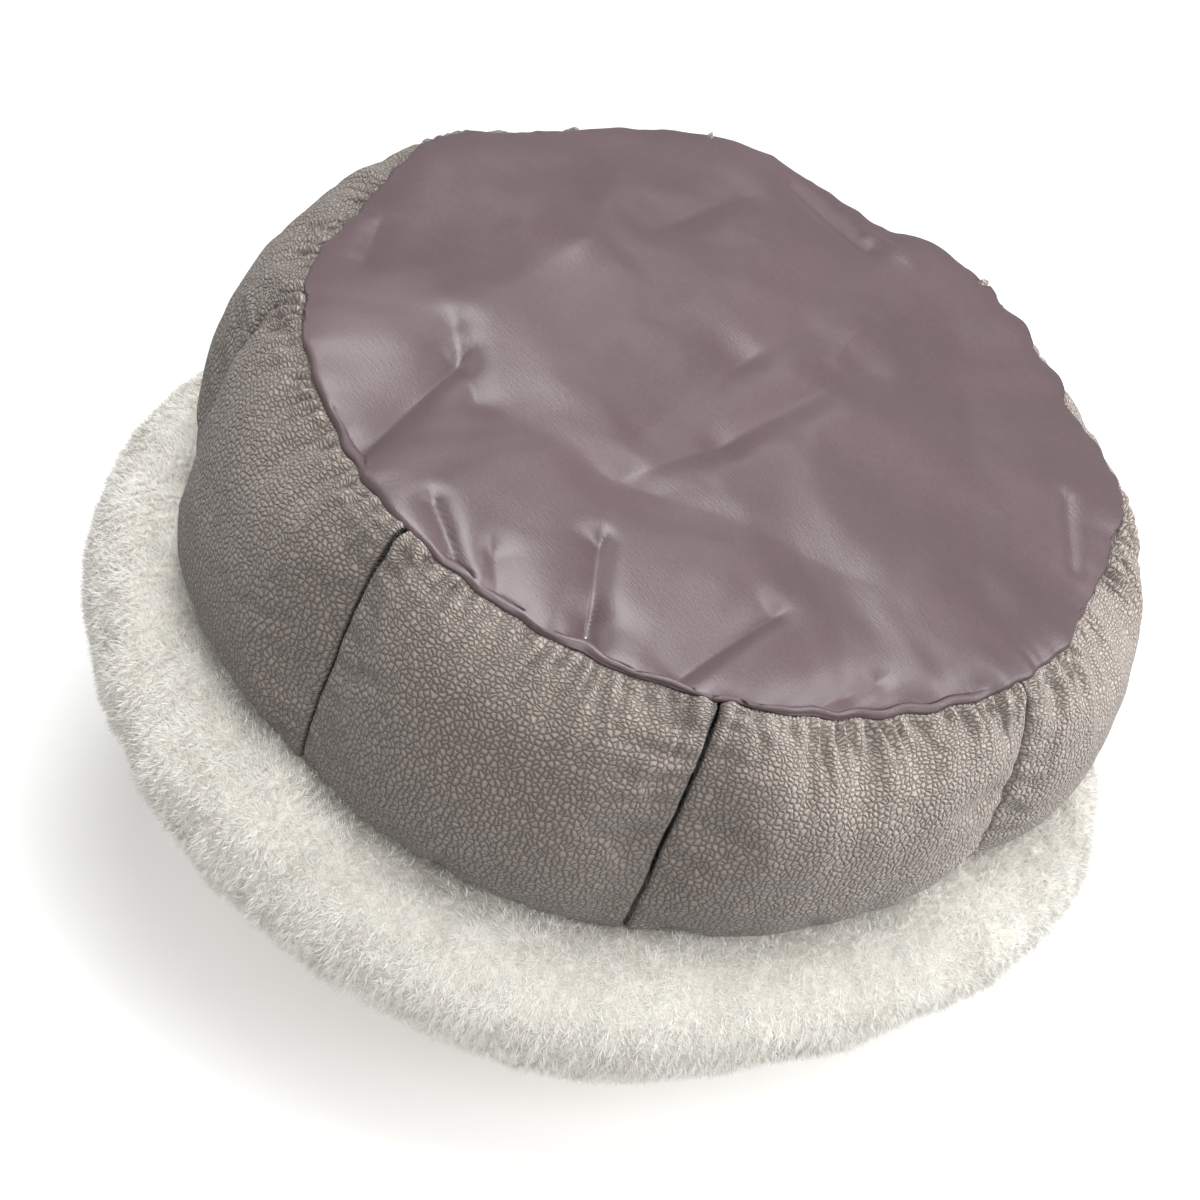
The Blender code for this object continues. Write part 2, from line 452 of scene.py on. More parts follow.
def weld(piece: bpy.types.Object, distance: float, closed: bool) -> None:
    """Merge the corners that lie within a distance of each other.

    Args:
        piece: The piece.
        distance: That distance, in metres.
        closed: Whether it is then a closed mesh, whose faces are turned to point out.
    """
    select_only(piece)
    bpy.ops.object.mode_set(mode="EDIT")
    bpy.ops.mesh.select_all(action="SELECT")
    bpy.ops.mesh.remove_doubles(threshold=distance)
    if closed:
        bpy.ops.mesh.normals_make_consistent(inside=False)
    bpy.ops.object.mode_set(mode="OBJECT")


def flip_towards(piece: bpy.types.Object, side: np.ndarray) -> None:
    """Flip all faces of a sheet if they point away from a direction at its middle face."""
    middle = piece.data.polygons[len(piece.data.polygons) // 2]
    if np.dot(np.array(middle.normal), side) < 0:
        piece.data.flip_normals()


@dataclass(frozen=True)
class ClothRecipe:
    """How sewn cloth is blown out over its wadding.

    Attributes:
        pressure: The push of the wadding.
        seam_slack: Share of spare cloth gathered into the seams.
        middle_slack: Share of spare cloth elsewhere.
        tension: How hard it is to stretch.
        bending: How hard it is to fold.
        frames: How long the cloth is left to settle.
        reach: The most that a point may move, in metres.
        sink: The most that it may sink in, in metres.
        mass: Mass of one corner, in kilograms.
        steps: Steps that each frame is worked out in.
    """

    pressure: float
    seam_slack: float
    middle_slack: float
    tension: float
    bending: float
    frames: int
    reach: float
    sink: float = 0.0025
    mass: float = 0.3
    steps: int = 6

    def prepare(self, piece: bpy.types.Object, held: np.ndarray, gathered: np.ndarray) -> None:
        """Add the cloth to a sheet.

        Args:
            piece: The sheet.
            held: How firmly each corner is held where it is, 0 to 1.
            gathered: Where the spare cloth is, 0 to 1.
        """
        for name, weights in (("held", held), ("gathered", gathered)):
            group = piece.vertex_groups.new(name=name)
            for index, weight in enumerate(weights):
                if weight > 0:
                    group.add([index], float(weight), "REPLACE")
        cloth = piece.modifiers.new("cloth", "CLOTH")
        cloth.point_cache.frame_start = 1
        cloth.point_cache.frame_end = self.frames
        cloth.collision_settings.use_collision = False
        settings = cloth.settings
        settings.quality = self.steps
        settings.mass = self.mass
        settings.tension_stiffness = settings.compression_stiffness = self.tension
        settings.shear_stiffness = self.tension / 3
        settings.bending_stiffness = self.bending
        settings.use_pressure = True
        settings.uniform_pressure_force = self.pressure
        settings.vertex_group_mass = "held"
        settings.vertex_group_shrink = "gathered"
        settings.shrink_min = -self.middle_slack
        settings.shrink_max = -self.seam_slack
        settings.effector_weights.gravity = 0

    def settle(self, pieces: list[bpy.types.Object], eases: list[np.ndarray]) -> None:
        """Run the cloth of several sheets together, keep the result and cap how far each point went.

        Args:
            pieces: The sheets.
            eases: For each sheet, the share of its way that each corner may go.
        """
        before = [points_of(piece) for piece in pieces]
        for number in range(1, self.frames + 1):
            bpy.context.scene.frame_set(number)
        for piece, start, ease in zip(pieces, before, eases):
            apply_modifiers(piece)
            moved = (points_of(piece) - start) * ease[:, None]
            length = np.linalg.norm(moved, axis=1, keepdims=True) + 1e-12
            moved *= np.tanh(length / self.reach) * self.reach / length
            normals = normals_of(piece)
            sunk = np.minimum(np.sum(moved * normals, axis=1, keepdims=True) + self.sink, 0)
            set_points(piece, start + moved - sunk * normals)
            piece.vertex_groups.clear()
        bpy.context.scene.frame_set(1)


# ---------------------------------------------------------------- shader work


class Wire:
    """One output of a shader node, on which plain arithmetic adds Math nodes."""

    def __init__(self, tree: bpy.types.NodeTree, socket: bpy.types.NodeSocket) -> None:
        """Wrap an output of a node in this tree."""
        self.tree = tree
        self.socket = socket

    def math(self, operation: str, *values: "Wire | float", clamp: bool = False) -> "Wire":
        """Add a Math node.

        Args:
            operation: The node's operation.
            *values: What its sockets take, in order.
            clamp: Whether the result is kept from 0 to 1.

        Returns:
            The node's output.
        """
        node = self.tree.nodes.new("ShaderNodeMath")
        node.operation = operation
        node.use_clamp = clamp
        for socket, value in zip(node.inputs, values):
            feed(self.tree, socket, value)
        return Wire(self.tree, node.outputs[0])

    def __add__(self, other: "Wire | float") -> "Wire":
        """Add."""
        return self.math("ADD", self, other)

    __radd__ = __add__

    def __sub__(self, other: "Wire | float") -> "Wire":
        """Take away."""
        return self.math("SUBTRACT", self, other)

    def __rsub__(self, other: "Wire | float") -> "Wire":
        """Take this away from a number."""
        return self.math("SUBTRACT", other, self)

    def __mul__(self, other: "Wire | float") -> "Wire":
        """Multiply."""
        return self.math("MULTIPLY", self, other)

    __rmul__ = __mul__

    def ramp(self, low: float, high: float) -> "Wire":
        """Ramp smoothly from 0 to 1 between two values."""
        share = self.math("DIVIDE", self - low, high - low, clamp=True)
        return share * share * (3 - 2 * share)


def feed(tree: bpy.types.NodeTree, socket: bpy.types.NodeSocket, value) -> None:
    """Link a wire to a socket, or set the socket's own value."""
    if isinstance(value, Wire):
        tree.links.new(value.socket, socket)
    elif isinstance(value, tuple) and len(value) == 3 and socket.type == "RGBA":
        socket.default_value = (*value, 1)
    else:
        socket.default_value = value


class Shader:
    """A material while its nodes are being laid."""

    def __init__(self, name: str) -> None:
        """Start a material with nothing but its output."""
        self.material = bpy.data.materials.new(name)
        self.material.use_nodes = True
        self.tree = self.material.node_tree
        self.tree.nodes.clear()

    def node(self, kind: str, output: str | int = 0, settings: dict | None = None, **inputs) -> Wire:
        """Add any node.

        Args:
            kind: The node's type, after ShaderNode.
            output: Which output is wanted.
            settings: The node's own settings, which are set first.
            **inputs: Its sockets by name, with _ for a space.

        Returns:
            That output.
        """
        node = self.tree.nodes.new("ShaderNode" + kind)
        for name, value in (settings or {}).items():
            setattr(node, name, value)
        for name, value in inputs.items():
            feed(self.tree, node.inputs[name.replace("_", " ")], value)
        return Wire(self.tree, node.outputs[output])

    def blend(self, share: Wire | float, first: Wire | Colour, second: Wire | Colour) -> Wire:
        """Mix two colours: the first where share is 0, the second where it is 1."""
        node = self.tree.nodes.new("ShaderNodeMix")
        node.data_type = "RGBA"
        for name, value in (("Factor_Float", share), ("A_Color", first), ("B_Color", second)):
            socket = next(each for each in node.inputs if each.identifier == name)
            feed(self.tree, socket, value)
        return Wire(self.tree, next(each for each in node.outputs if each.identifier == "Result_Color"))

    def vector(self, operation: str, first: Wire | Colour, second: Wire | Colour) -> Wire:
        """Add a Vector Math node of two inputs."""
        node = self.tree.nodes.new("ShaderNodeVectorMath")
        node.operation = operation
        feed(self.tree, node.inputs[0], first)
        feed(self.tree, node.inputs[1], second)
        return Wire(self.tree, node.outputs[0])

    def bump(self, height: Wire, depth: float, strength: float = 1.0) -> Wire:
        """Add a Bump node.

        Args:
            height: The pattern, 0 to 1.
            depth: What 1 stands for, in metres.
            strength: How much of it is used.

        Returns:
            The bumped normal.
        """
        return self.node("Bump", Height=height, Distance=depth, Strength=strength)

    def finish(self, surface: Wire) -> bpy.types.Material:
        """Link the surface to the output and hand over the material."""
        output = self.tree.nodes.new("ShaderNodeOutputMaterial")
        self.tree.links.new(surface.socket, output.inputs["Surface"])
        return self.material

    def principled(self, **inputs) -> bpy.types.Material:
        """Finish the material as one Principled surface with these sockets."""
        return self.finish(self.node("BsdfPrincipled", **inputs))


# ---------------------------------------------------------------- finishes


class Slot(Enum):
    """The record's material slots."""

    SATIN = "base_satin"
    MICROFIBRE = "wall_microfibre"
    PLUSH = "plush"
    WADDING = "wadding"


def darker(colour: Colour, share: float) -> Colour:
    """Scale a colour's three parts by a share."""
    return tuple(share * part for part in colour)


@dataclass(frozen=True)
class SatinFinish:
    """The base's mauve satin lining cloth.

    Attributes:
        colour: Its colour.
        painted_shade: Its colour in the broad dark patches of painted shade on the sheen, and where the
            yarn's slubs lie darker.
        roughness: How much its gloss spreads.
        gloss: How strong it is.
        brushed: How much it stretches across the yarn.
        thread: Size of its finest slubs, in metres.
        slant: How far the yarn is turned from the bed's X.
        relief: Depth of the slubs, in metres.
    """

    colour: Colour = (0.108, 0.068, 0.074)
    # The darker satin colour, painted as shade in the sheen's broad dark patches as well as in the slubs.
    painted_shade: Colour = (0.078, 0.049, 0.054)
    roughness: float = 0.38
    gloss: float = 0.80
    brushed: float = 0.35
    thread: float = 0.0009
    slant: float = math.radians(35)
    relief: float = 0.00025

    def material(self) -> bpy.types.Material:
        """Lay the nodes."""
        shader = Shader("mauve_satin")
        place = shader.node("TexCoord", "Object")
        long_yarn = (1 / self.thread, 0.12 / self.thread, 1 / self.thread)
        yarn = shader.node("Mapping", Vector=place, Rotation=(0.0, 0.0, self.slant), Scale=long_yarn)
        slub = shader.node("TexNoise", Vector=yarn, Scale=1.0, Detail=2.0)
        grain = shader.node("TexNoise", Vector=place, Scale=0.8 / self.thread, Detail=1.0)
        # The broad cloud paints the satin's light and dark patches of sheen into its colour, as painted
        # highlight and painted shade; it also varies the roughness.
        cloud = shader.node("TexNoise", Vector=place, Scale=14.0, Detail=3.0)
        # Colour: painted highlight and shade from the cloud, mixed with the yarn's own slubs and grain.
        patchy = (0.45 * cloud + 0.20 * slub + 0.35 * grain).ramp(0.33, 0.67)
        tint = shader.blend(patchy, self.painted_shade, self.colour)
        return shader.principled(
            Base_Color=tint,
            Roughness=self.roughness + 0.06 * (cloud - 0.5),
            Normal=shader.bump(0.5 * slub + 0.5 * grain, self.relief, 0.7),
            Anisotropic=self.brushed,
            Specular_IOR_Level=self.gloss,
            Sheen_Weight=0.05,
        )


@dataclass(frozen=True)
class MicrofibreFinish:
    """The wall's brushed grey cloth, embossed with a pebbled hide grain.

    Attributes:
        high: The colour on top of a pebble.
        low: The dark colour painted as shade down in the creases and on the pebbles' sloping sides.
        pebble: Width of a pebble, in metres.
        relief: Depth of the creases, in metres.
    """

    high: Colour = (0.350, 0.298, 0.262)
    # Painted shade: the creases and the pebbles' sloping sides are darkened towards this colour.
    low: Colour = (0.056, 0.044, 0.036)
    pebble: float = 0.0026
    relief: float = 0.0013

    def material(self) -> bpy.types.Material:
        """Lay the nodes."""
        shader = Shader("pebbled_microfibre")
        cloth = shader.node("UVMap", settings={"uv_map": CLOTH_MAP})
        drift = shader.node("TexNoise", "Color", Vector=cloth, Scale=0.5 / self.pebble, Detail=2.0)
        swing = shader.vector("SCALE", shader.vector("SUBTRACT", drift, (0.5, 0.5, 0.5)), (0, 0, 0))
        swing.socket.node.inputs["Scale"].default_value = 1.1 * self.pebble
        bent = shader.vector("ADD", cloth, swing)
        edge = {"feature": "DISTANCE_TO_EDGE", "voronoi_dimensions": "2D"}
        gap = shader.node("TexVoronoi", "Distance", edge, Vector=bent, Scale=1 / self.pebble, Randomness=0.85)
        cells = {"voronoi_dimensions": "2D"}
        cell = shader.node("TexVoronoi", "Color", cells, Vector=bent, Scale=1 / self.pebble, Randomness=0.85)
        fine = shader.node("TexNoise", Vector=cloth, Scale=2.2 / self.pebble, Detail=3.0)
        brushed = shader.node("TexNoise", Vector=cloth, Scale=16.0, Detail=2.0)
        # Painted shade: darken the creases and the pebbles' sloping sides towards low, where shade falls; the
        # creases' mask also roughens them.
        crease_shade = 1 - gap.ramp(0.0, 0.09)
        dome = gap.ramp(0.0, 0.40)
        # Painted sheen: broad patches of the brushed nap a little lighter and darker, as the nap catches the
        # light.
        nap_sheen = (0.5 * brushed + 0.3 * fine).ramp(0.25, 0.6)
        light = shader.blend(nap_sheen, darker(self.high, 0.84), self.high)
        tint = shader.blend(0.22 * cell, light, darker(self.high, 0.72))
        painted_dome_shade = shader.blend(0.30 * (1 - dome), tint, self.low)
        colour = shader.blend(crease_shade * (0.72 + 0.5 * fine), painted_dome_shade, self.low)
        return shader.principled(
            Base_Color=colour,
            Roughness=0.8 + 0.1 * crease_shade,
            Normal=shader.bump(0.75 * dome + 0.12 * fine, self.relief),
            Sheen_Weight=0.25,
            Sheen_Roughness=0.35,
        )


@dataclass(frozen=True)
class PlushFinish:
    """The ivory plush: a matted ground and pile in a few tones.

    Attributes:
        ground: Colour of the matted ground under the pile.
        tones: Colours of the pile, from the commonest.
    """

    ground: Colour = (0.86, 0.83, 0.76)
    tones: tuple[Colour, ...] = (
        (0.89, 0.875, 0.83),
        (0.91, 0.90, 0.865),
        (0.85, 0.825, 0.765),
    )

    def ground_material(self) -> bpy.types.Material:
        """Lay the ground's nodes."""
        shader = Shader("plush_ground")
        place = shader.node("TexCoord", "Object")
        tuft = shader.node("TexNoise", Vector=place, Scale=260.0, Detail=3.0)
        colour = shader.blend(tuft.ramp(0.35, 0.7), darker(self.ground, 0.8), self.ground)
        normal = shader.bump(tuft, 0.002)
        return shader.principled(Base_Color=colour, Roughness=0.95, Normal=normal, Sheen_Weight=0.3)

    def pile_materials(self) -> list[bpy.types.Material]:
        """Make one plain material for each tone of the pile."""
        return [
            Shader(f"plush_pile_{number}").principled(
                Base_Color=tone,
                Roughness=0.75,
                Specular_IOR_Level=0.25,
                Sheen_Weight=0.25,
                Sheen_Roughness=0.5,
            )
            for number, tone in enumerate(self.tones, 1)
        ]


@dataclass(frozen=True)
class WaddingFinish:
    """The loose white filling.

    Attributes:
        colour: Its colour.
    """

    colour: Colour = (0.86, 0.86, 0.85)

    def material(self) -> bpy.types.Material:
        """Lay the nodes."""
        shader = Shader("white_wadding")
        place = shader.node("TexCoord", "Object")
        tuft = shader.node("TexNoise", Vector=place, Scale=120.0, Detail=5.0)
        colour = shader.blend(tuft, darker(self.colour, 0.9), self.colour)
        return shader.principled(Base_Color=colour, Roughness=1.0, Normal=shader.bump(tuft, 0.003))


def place_piece(piece: bpy.types.Object, node: str = "") -> None:
    """Put a finished piece in the frame.

    Args:
        piece: The piece.
        node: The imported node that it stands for, if any.
    """
    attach(piece, BODY)
    if node:
        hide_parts(node)
    LOG.info("%s: %d faces", piece.name, len(piece.data.polygons))


# ---------------------------------------------------------------- cloth pieces


@dataclass(frozen=True)
class Puckers:
    """Short uneven gathers that run away from a seam.

    Attributes:
        spacing: The usual distance from one to the next, in metres.
        depth: How far they stand out and sink in, in metres.
        length: How far they reach from the seam, in metres.
        sharpness: How narrow the sunk lines between them are.
        clear: Over how far from the seam they rise.
    """

    spacing: float
    depth: float
    length: float
    sharpness: float = 1.0
    clear: float = 0.0060

    def at(self, along: np.ndarray, away: np.ndarray, seed: int) -> np.ndarray:
        """Work out the gathers.

        Args:
            along: Distance along the seam.
            away: Distance from the seam.
            seed: Picks one arrangement.

        Returns:
            How far the cloth stands out.
        """
        noise = Noise(seed)
        still = 0 * along
        spread = np.stack([along, 0.45 * away, still + 0.37 * seed], axis=1)
        seam = np.stack([along, still, still + 0.61 * seed], axis=1)
        phase = along / self.spacing + 0.9 * noise.at(spread, 2.6 * self.spacing)
        phase += 0.35 * noise.at(spread + 5.0, 0.8 * self.spacing)
        ridge = 0.5 + 0.5 * np.cos(2 * math.pi * phase)
        ridge = ridge**self.sharpness - 0.45
        patchy = noise.at(seam + 9.0, 2.2 * self.spacing) + 0.6 * noise.at(seam + 2.0, 6.5 * self.spacing)
        strength = np.clip(0.65 + 0.85 * patchy, 0.12, 1.4)
        reach = self.length * np.clip(0.8 + 1.0 * noise.at(seam + 3.0, 1.1 * self.spacing), 0.2, 1.9)
        rise = smooth(0.0, self.clear, away)
        return self.depth * strength * ridge * rise * np.exp(-((away / reach) ** 1.5))


def refine(piece: bpy.types.Object) -> None:
    """Subdivide a sheet once, smoothly."""
    subdivision = piece.modifiers.new("smooth", "SUBSURF")
    subdivision.levels = subdivision.render_levels = 1
    subdivision.boundary_smooth = "PRESERVE_CORNERS"
    apply_modifiers(piece)


def push_out(piece: bpy.types.Object, distance: np.ndarray) -> None:
    """Move each corner along its normal."""
    set_points(piece, points_of(piece) + distance[:, None] * normals_of(piece))


def cloth_map_of(piece: bpy.types.Object) -> np.ndarray:
    """Read where each corner was on the flat cloth, in metres."""
    corners = np.empty(len(piece.data.loops), np.int32)
    piece.data.loops.foreach_get("vertex_index", corners)
    flat = np.empty(len(corners) * 2, np.float32)
    piece.data.uv_layers[CLOTH_MAP].data.foreach_get("uv", flat)
    found = np.zeros((len(piece.data.vertices), 2))
    found[corners] = flat.reshape(-1, 2)
    return found


def grid_shares(piece: bpy.types.Object) -> tuple[np.ndarray, np.ndarray]:
    """Say how far across and how far along a new grid each corner is, 0 to 1."""
    places = points_of(piece) + 0.5
    return places[:, 0].copy(), places[:, 1].copy()


def round_off(across: np.ndarray, along: np.ndarray) -> tuple[np.ndarray, np.ndarray]:
    """Bend a square grid into a disc.

    Args:
        across: How far across the square, 0 to 1.
        along: How far along it.

    Returns:
        The angle and the share of the disc's radius.
    """
    x = 2 * across - 1
    y = 2 * along - 1
    disc_x = x * np.sqrt(1 - y * y / 2)
    disc_y = y * np.sqrt(1 - x * x / 2)
    return np.arctan2(disc_y, disc_x), np.clip(np.hypot(disc_x, disc_y), 0, 1)


def lay_cloth_map(piece: bpy.types.Object, places: np.ndarray) -> None:
    """Store where each corner was on the flat cloth, in metres.

    Args:
        piece: The sheet.
        places: Two numbers to a row.
    """
    while piece.data.uv_layers:
        piece.data.uv_layers.remove(piece.data.uv_layers[0])
    layer = piece.data.uv_layers.new(name=CLOTH_MAP)
    corners = np.empty(len(piece.data.loops), np.int32)
    piece.data.loops.foreach_get("vertex_index", corners)
    layer.data.foreach_set("uv", places[corners].astype(np.float32).ravel())


@dataclass(frozen=True)
class Fold:
    """One fold of the satin: a crest from start to end, with a slope on each side.

    Attributes:
        start: One end of its crest, across the bed, in metres.
        end: The other end.
        left: Width of the slope on the left of the way from start to end.
        right: Width of the slope on the right.
        height: How far it stands out, negative where it sinks in.
    """

    start: tuple[float, float]
    end: tuple[float, float]
    left: float
    right: float
    height: float

    def at(self, x: np.ndarray, y: np.ndarray) -> np.ndarray:
        """How far the fold stands out at these places."""
        run_x = self.end[0] - self.start[0]
        run_y = self.end[1] - self.start[1]
        length = math.hypot(run_x, run_y)
        from_x = x - self.start[0]
        from_y = y - self.start[1]
        along = (from_x * run_x + from_y * run_y) / length
        across = (from_y * run_x - from_x * run_y) / length
        width = lerp(self.right, self.left, smooth(-0.002, 0.002, across))
        beyond = np.maximum(np.maximum(-along, along - length), 0) / (0.35 * (self.left + self.right) + 0.003)
        return self.height * np.exp(-((np.abs(across) / width) ** 1.5) - beyond**2)


@dataclass
class SatinBase:
    """The round satin underside.

    Attributes:
        form: The bed's form.
        finish: Its cloth.
        cells: Cells each way in its grid.
        bulge: How far it swells out past its seam.
        overhang: How far its rim swells sideways over the seam.
        far_slump: How much further the loose cloth slumps over the far side.
        far_angle: Where that side is round the bed.
        far_lumps: How uneven that slump is.
        swell: Height of its broad uneven swells.
        drift: Height of its small ones.
        thickness: The cloth's thickness.
        folds: Its broad folds.
        fine_gathers: The short gathers along its seam.
        long_gathers: The long ones.
        recipe: How it is blown out.
    """

    form: BedForm
    finish: SatinFinish = SatinFinish()
    cells: int = 104
    bulge: float = 0.0130
    overhang: float = 0.0070
    far_slump: float = 0.0085
    far_angle: float = math.radians(150)
    far_lumps: float = 0.003
    swell: float = 0.0016
    drift: float = 0.0005
    thickness: float = 0.0012
    folds: tuple[Fold, ...] = (
        Fold((0.192, 0.044), (0.106, 0.068), 0.006, 0.016, 0.0056),
        Fold((0.094, 0.084), (0.114, 0.048), 0.014, 0.008, 0.0035),
        Fold((0.177, 0.004), (0.198, -0.049), 0.008, 0.0045, 0.0045),
        Fold((0.172, -0.030), (0.194, -0.061), 0.005, 0.012, 0.0039),
        Fold((0.124, -0.047), (0.160, -0.081), 0.009, 0.005, 0.0059),
        Fold((0.156, -0.077), (0.183, -0.094), 0.009, 0.016, 0.005),
        Fold((0.141, -0.119), (0.083, -0.115), 0.006, 0.014, 0.0049),
        Fold((0.137, -0.142), (0.146, -0.155), 0.004, 0.005, 0.0025),
        Fold((0.114, -0.158), (0.062, -0.162), 0.006, 0.009, 0.0036),
        Fold((0.078, -0.179), (0.023, -0.188), 0.007, 0.01, 0.0031),
        Fold((-0.110, -0.126), (-0.083, -0.155), 0.004, 0.005, 0.0028),
        Fold((-0.152, 0.098), (-0.155, 0.049), 0.007, 0.008, 0.0028),
        Fold((-0.165, 0.053), (-0.165, 0.030), 0.004, 0.004, -0.0025),
        Fold((0.056, -0.005), (-0.022, 0.010), 0.011, 0.02, 0.0031),
        Fold((-0.022, 0.010), (-0.069, 0.012), 0.01, 0.018, 0.0028),
        Fold((0.098, -0.019), (0.031, -0.027), 0.009, 0.018, 0.0034),
        Fold((0.031, -0.027), (-0.077, -0.021), 0.009, 0.018, 0.0034),
        Fold((-0.067, -0.010), (-0.096, 0.001), 0.003, 0.003, -0.0013),
        Fold((-0.063, 0.136), (-0.003, 0.100), 0.018, 0.018, -0.0031),
        Fold((-0.003, 0.100), (0.073, 0.091), 0.02, 0.02, -0.0025),
        Fold((-0.050, 0.099), (-0.114, 0.100), 0.01, 0.016, 0.0025),
        Fold((0.071, 0.160), (0.098, 0.141), 0.006, 0.006, 0.0028),
        Fold((-0.146, -0.024), (-0.031, -0.139), 0.04, 0.022, 0.0035),
        Fold((0.111, 0.036), (0.085, -0.029), 0.025, 0.018, 0.0035),
        Fold((0.085, -0.029), (0.033, -0.112), 0.025, 0.018, 0.0035),
    )
    fine_gathers: Puckers = Puckers(0.013, 0.0008, 0.010, 0.8)
    long_gathers: Puckers = Puckers(0.050, 0.0024, 0.030, 0.8)
    recipe: ClothRecipe = ClothRecipe(
        pressure=0.5, seam_slack=0.03, middle_slack=0.0, tension=14, bending=2.0, frames=18, reach=0.003
    )

    def cut(self) -> bpy.types.Object:
        """Lay the sheet on its seam, with its folds started."""
        piece = add_grid("base_satin", self.cells, self.cells)
        angle, share = round_off(*grid_shares(piece))
        seam_radius, seam_height = self.form.base_seam(angle)
        far = np.clip(np.cos(angle - self.far_angle), 0, 1)
        ring = self.form.sizes.base_radius * np.stack([np.cos(angle), np.sin(angle), 0 * angle], axis=1)
        reach = self.overhang + (self.far_slump + self.far_lumps * Noise(35).rough(ring, 0.06, 2)) * far
        rim = smooth(0.78, 0.955, share) * (1 - smooth(0.965, 1.0, share))
        radius = seam_radius * share + reach * rim
        x = radius * np.cos(angle)
        y = radius * np.sin(angle)
        lift = self.bulge * (0.55 * (1 - share**2.4) + 0.45 * (1 - share**12))
        places = np.stack([x, y, seam_height * share**3 - lift], axis=1)
        drift = self.drift * Noise(31).rough(places, 0.022, 2)
        swell = self.swell * Noise(33).rough(places * (1.0, 0.45, 1.0), 0.055, 2)
        places[:, 2] += (drift + swell) * (1 - share**6)
        set_points(piece, places)
        lay_cloth_map(piece, np.stack([share * np.cos(angle), share * np.sin(angle)], axis=1))
        flip_towards(piece, np.array([0, 0, -1]))
        held = np.where(share > 0.9999, 1.0, 0.0)
        gathered = smooth(0.80, 1.0, share)
        self.recipe.prepare(piece, held, gathered)
        return piece

    def gather(self, piece: bpy.types.Object) -> None:
        """Pucker the settled sheet along its seam."""
        places = points_of(piece)
        angle = np.arctan2(places[:, 1], places[:, 0])
        flat = cloth_map_of(piece)
        away = np.clip(self.form.base_seam(angle)[0] * (1 - np.hypot(flat[:, 0], flat[:, 1])), 0, 1)
        along = self.form.sizes.base_radius * angle
        ripple = self.fine_gathers.at(along, away, 91) + self.long_gathers.at(along, away, 92)
        fade = smooth(0.0, 0.008, away)
        for fold in self.folds:
            ripple += fade * fold.at(places[:, 0], places[:, 1])
        push_out(piece, ripple)

    def sew(self, piece: bpy.types.Object) -> None:
        """Give the settled sheet its thickness, its cloth and its place in the frame."""
        refine(piece)
        self.gather(piece)
        give_thickness(piece, self.thickness)
        piece.data.materials.append(self.finish.material())
        place_piece(piece, "base_panel")


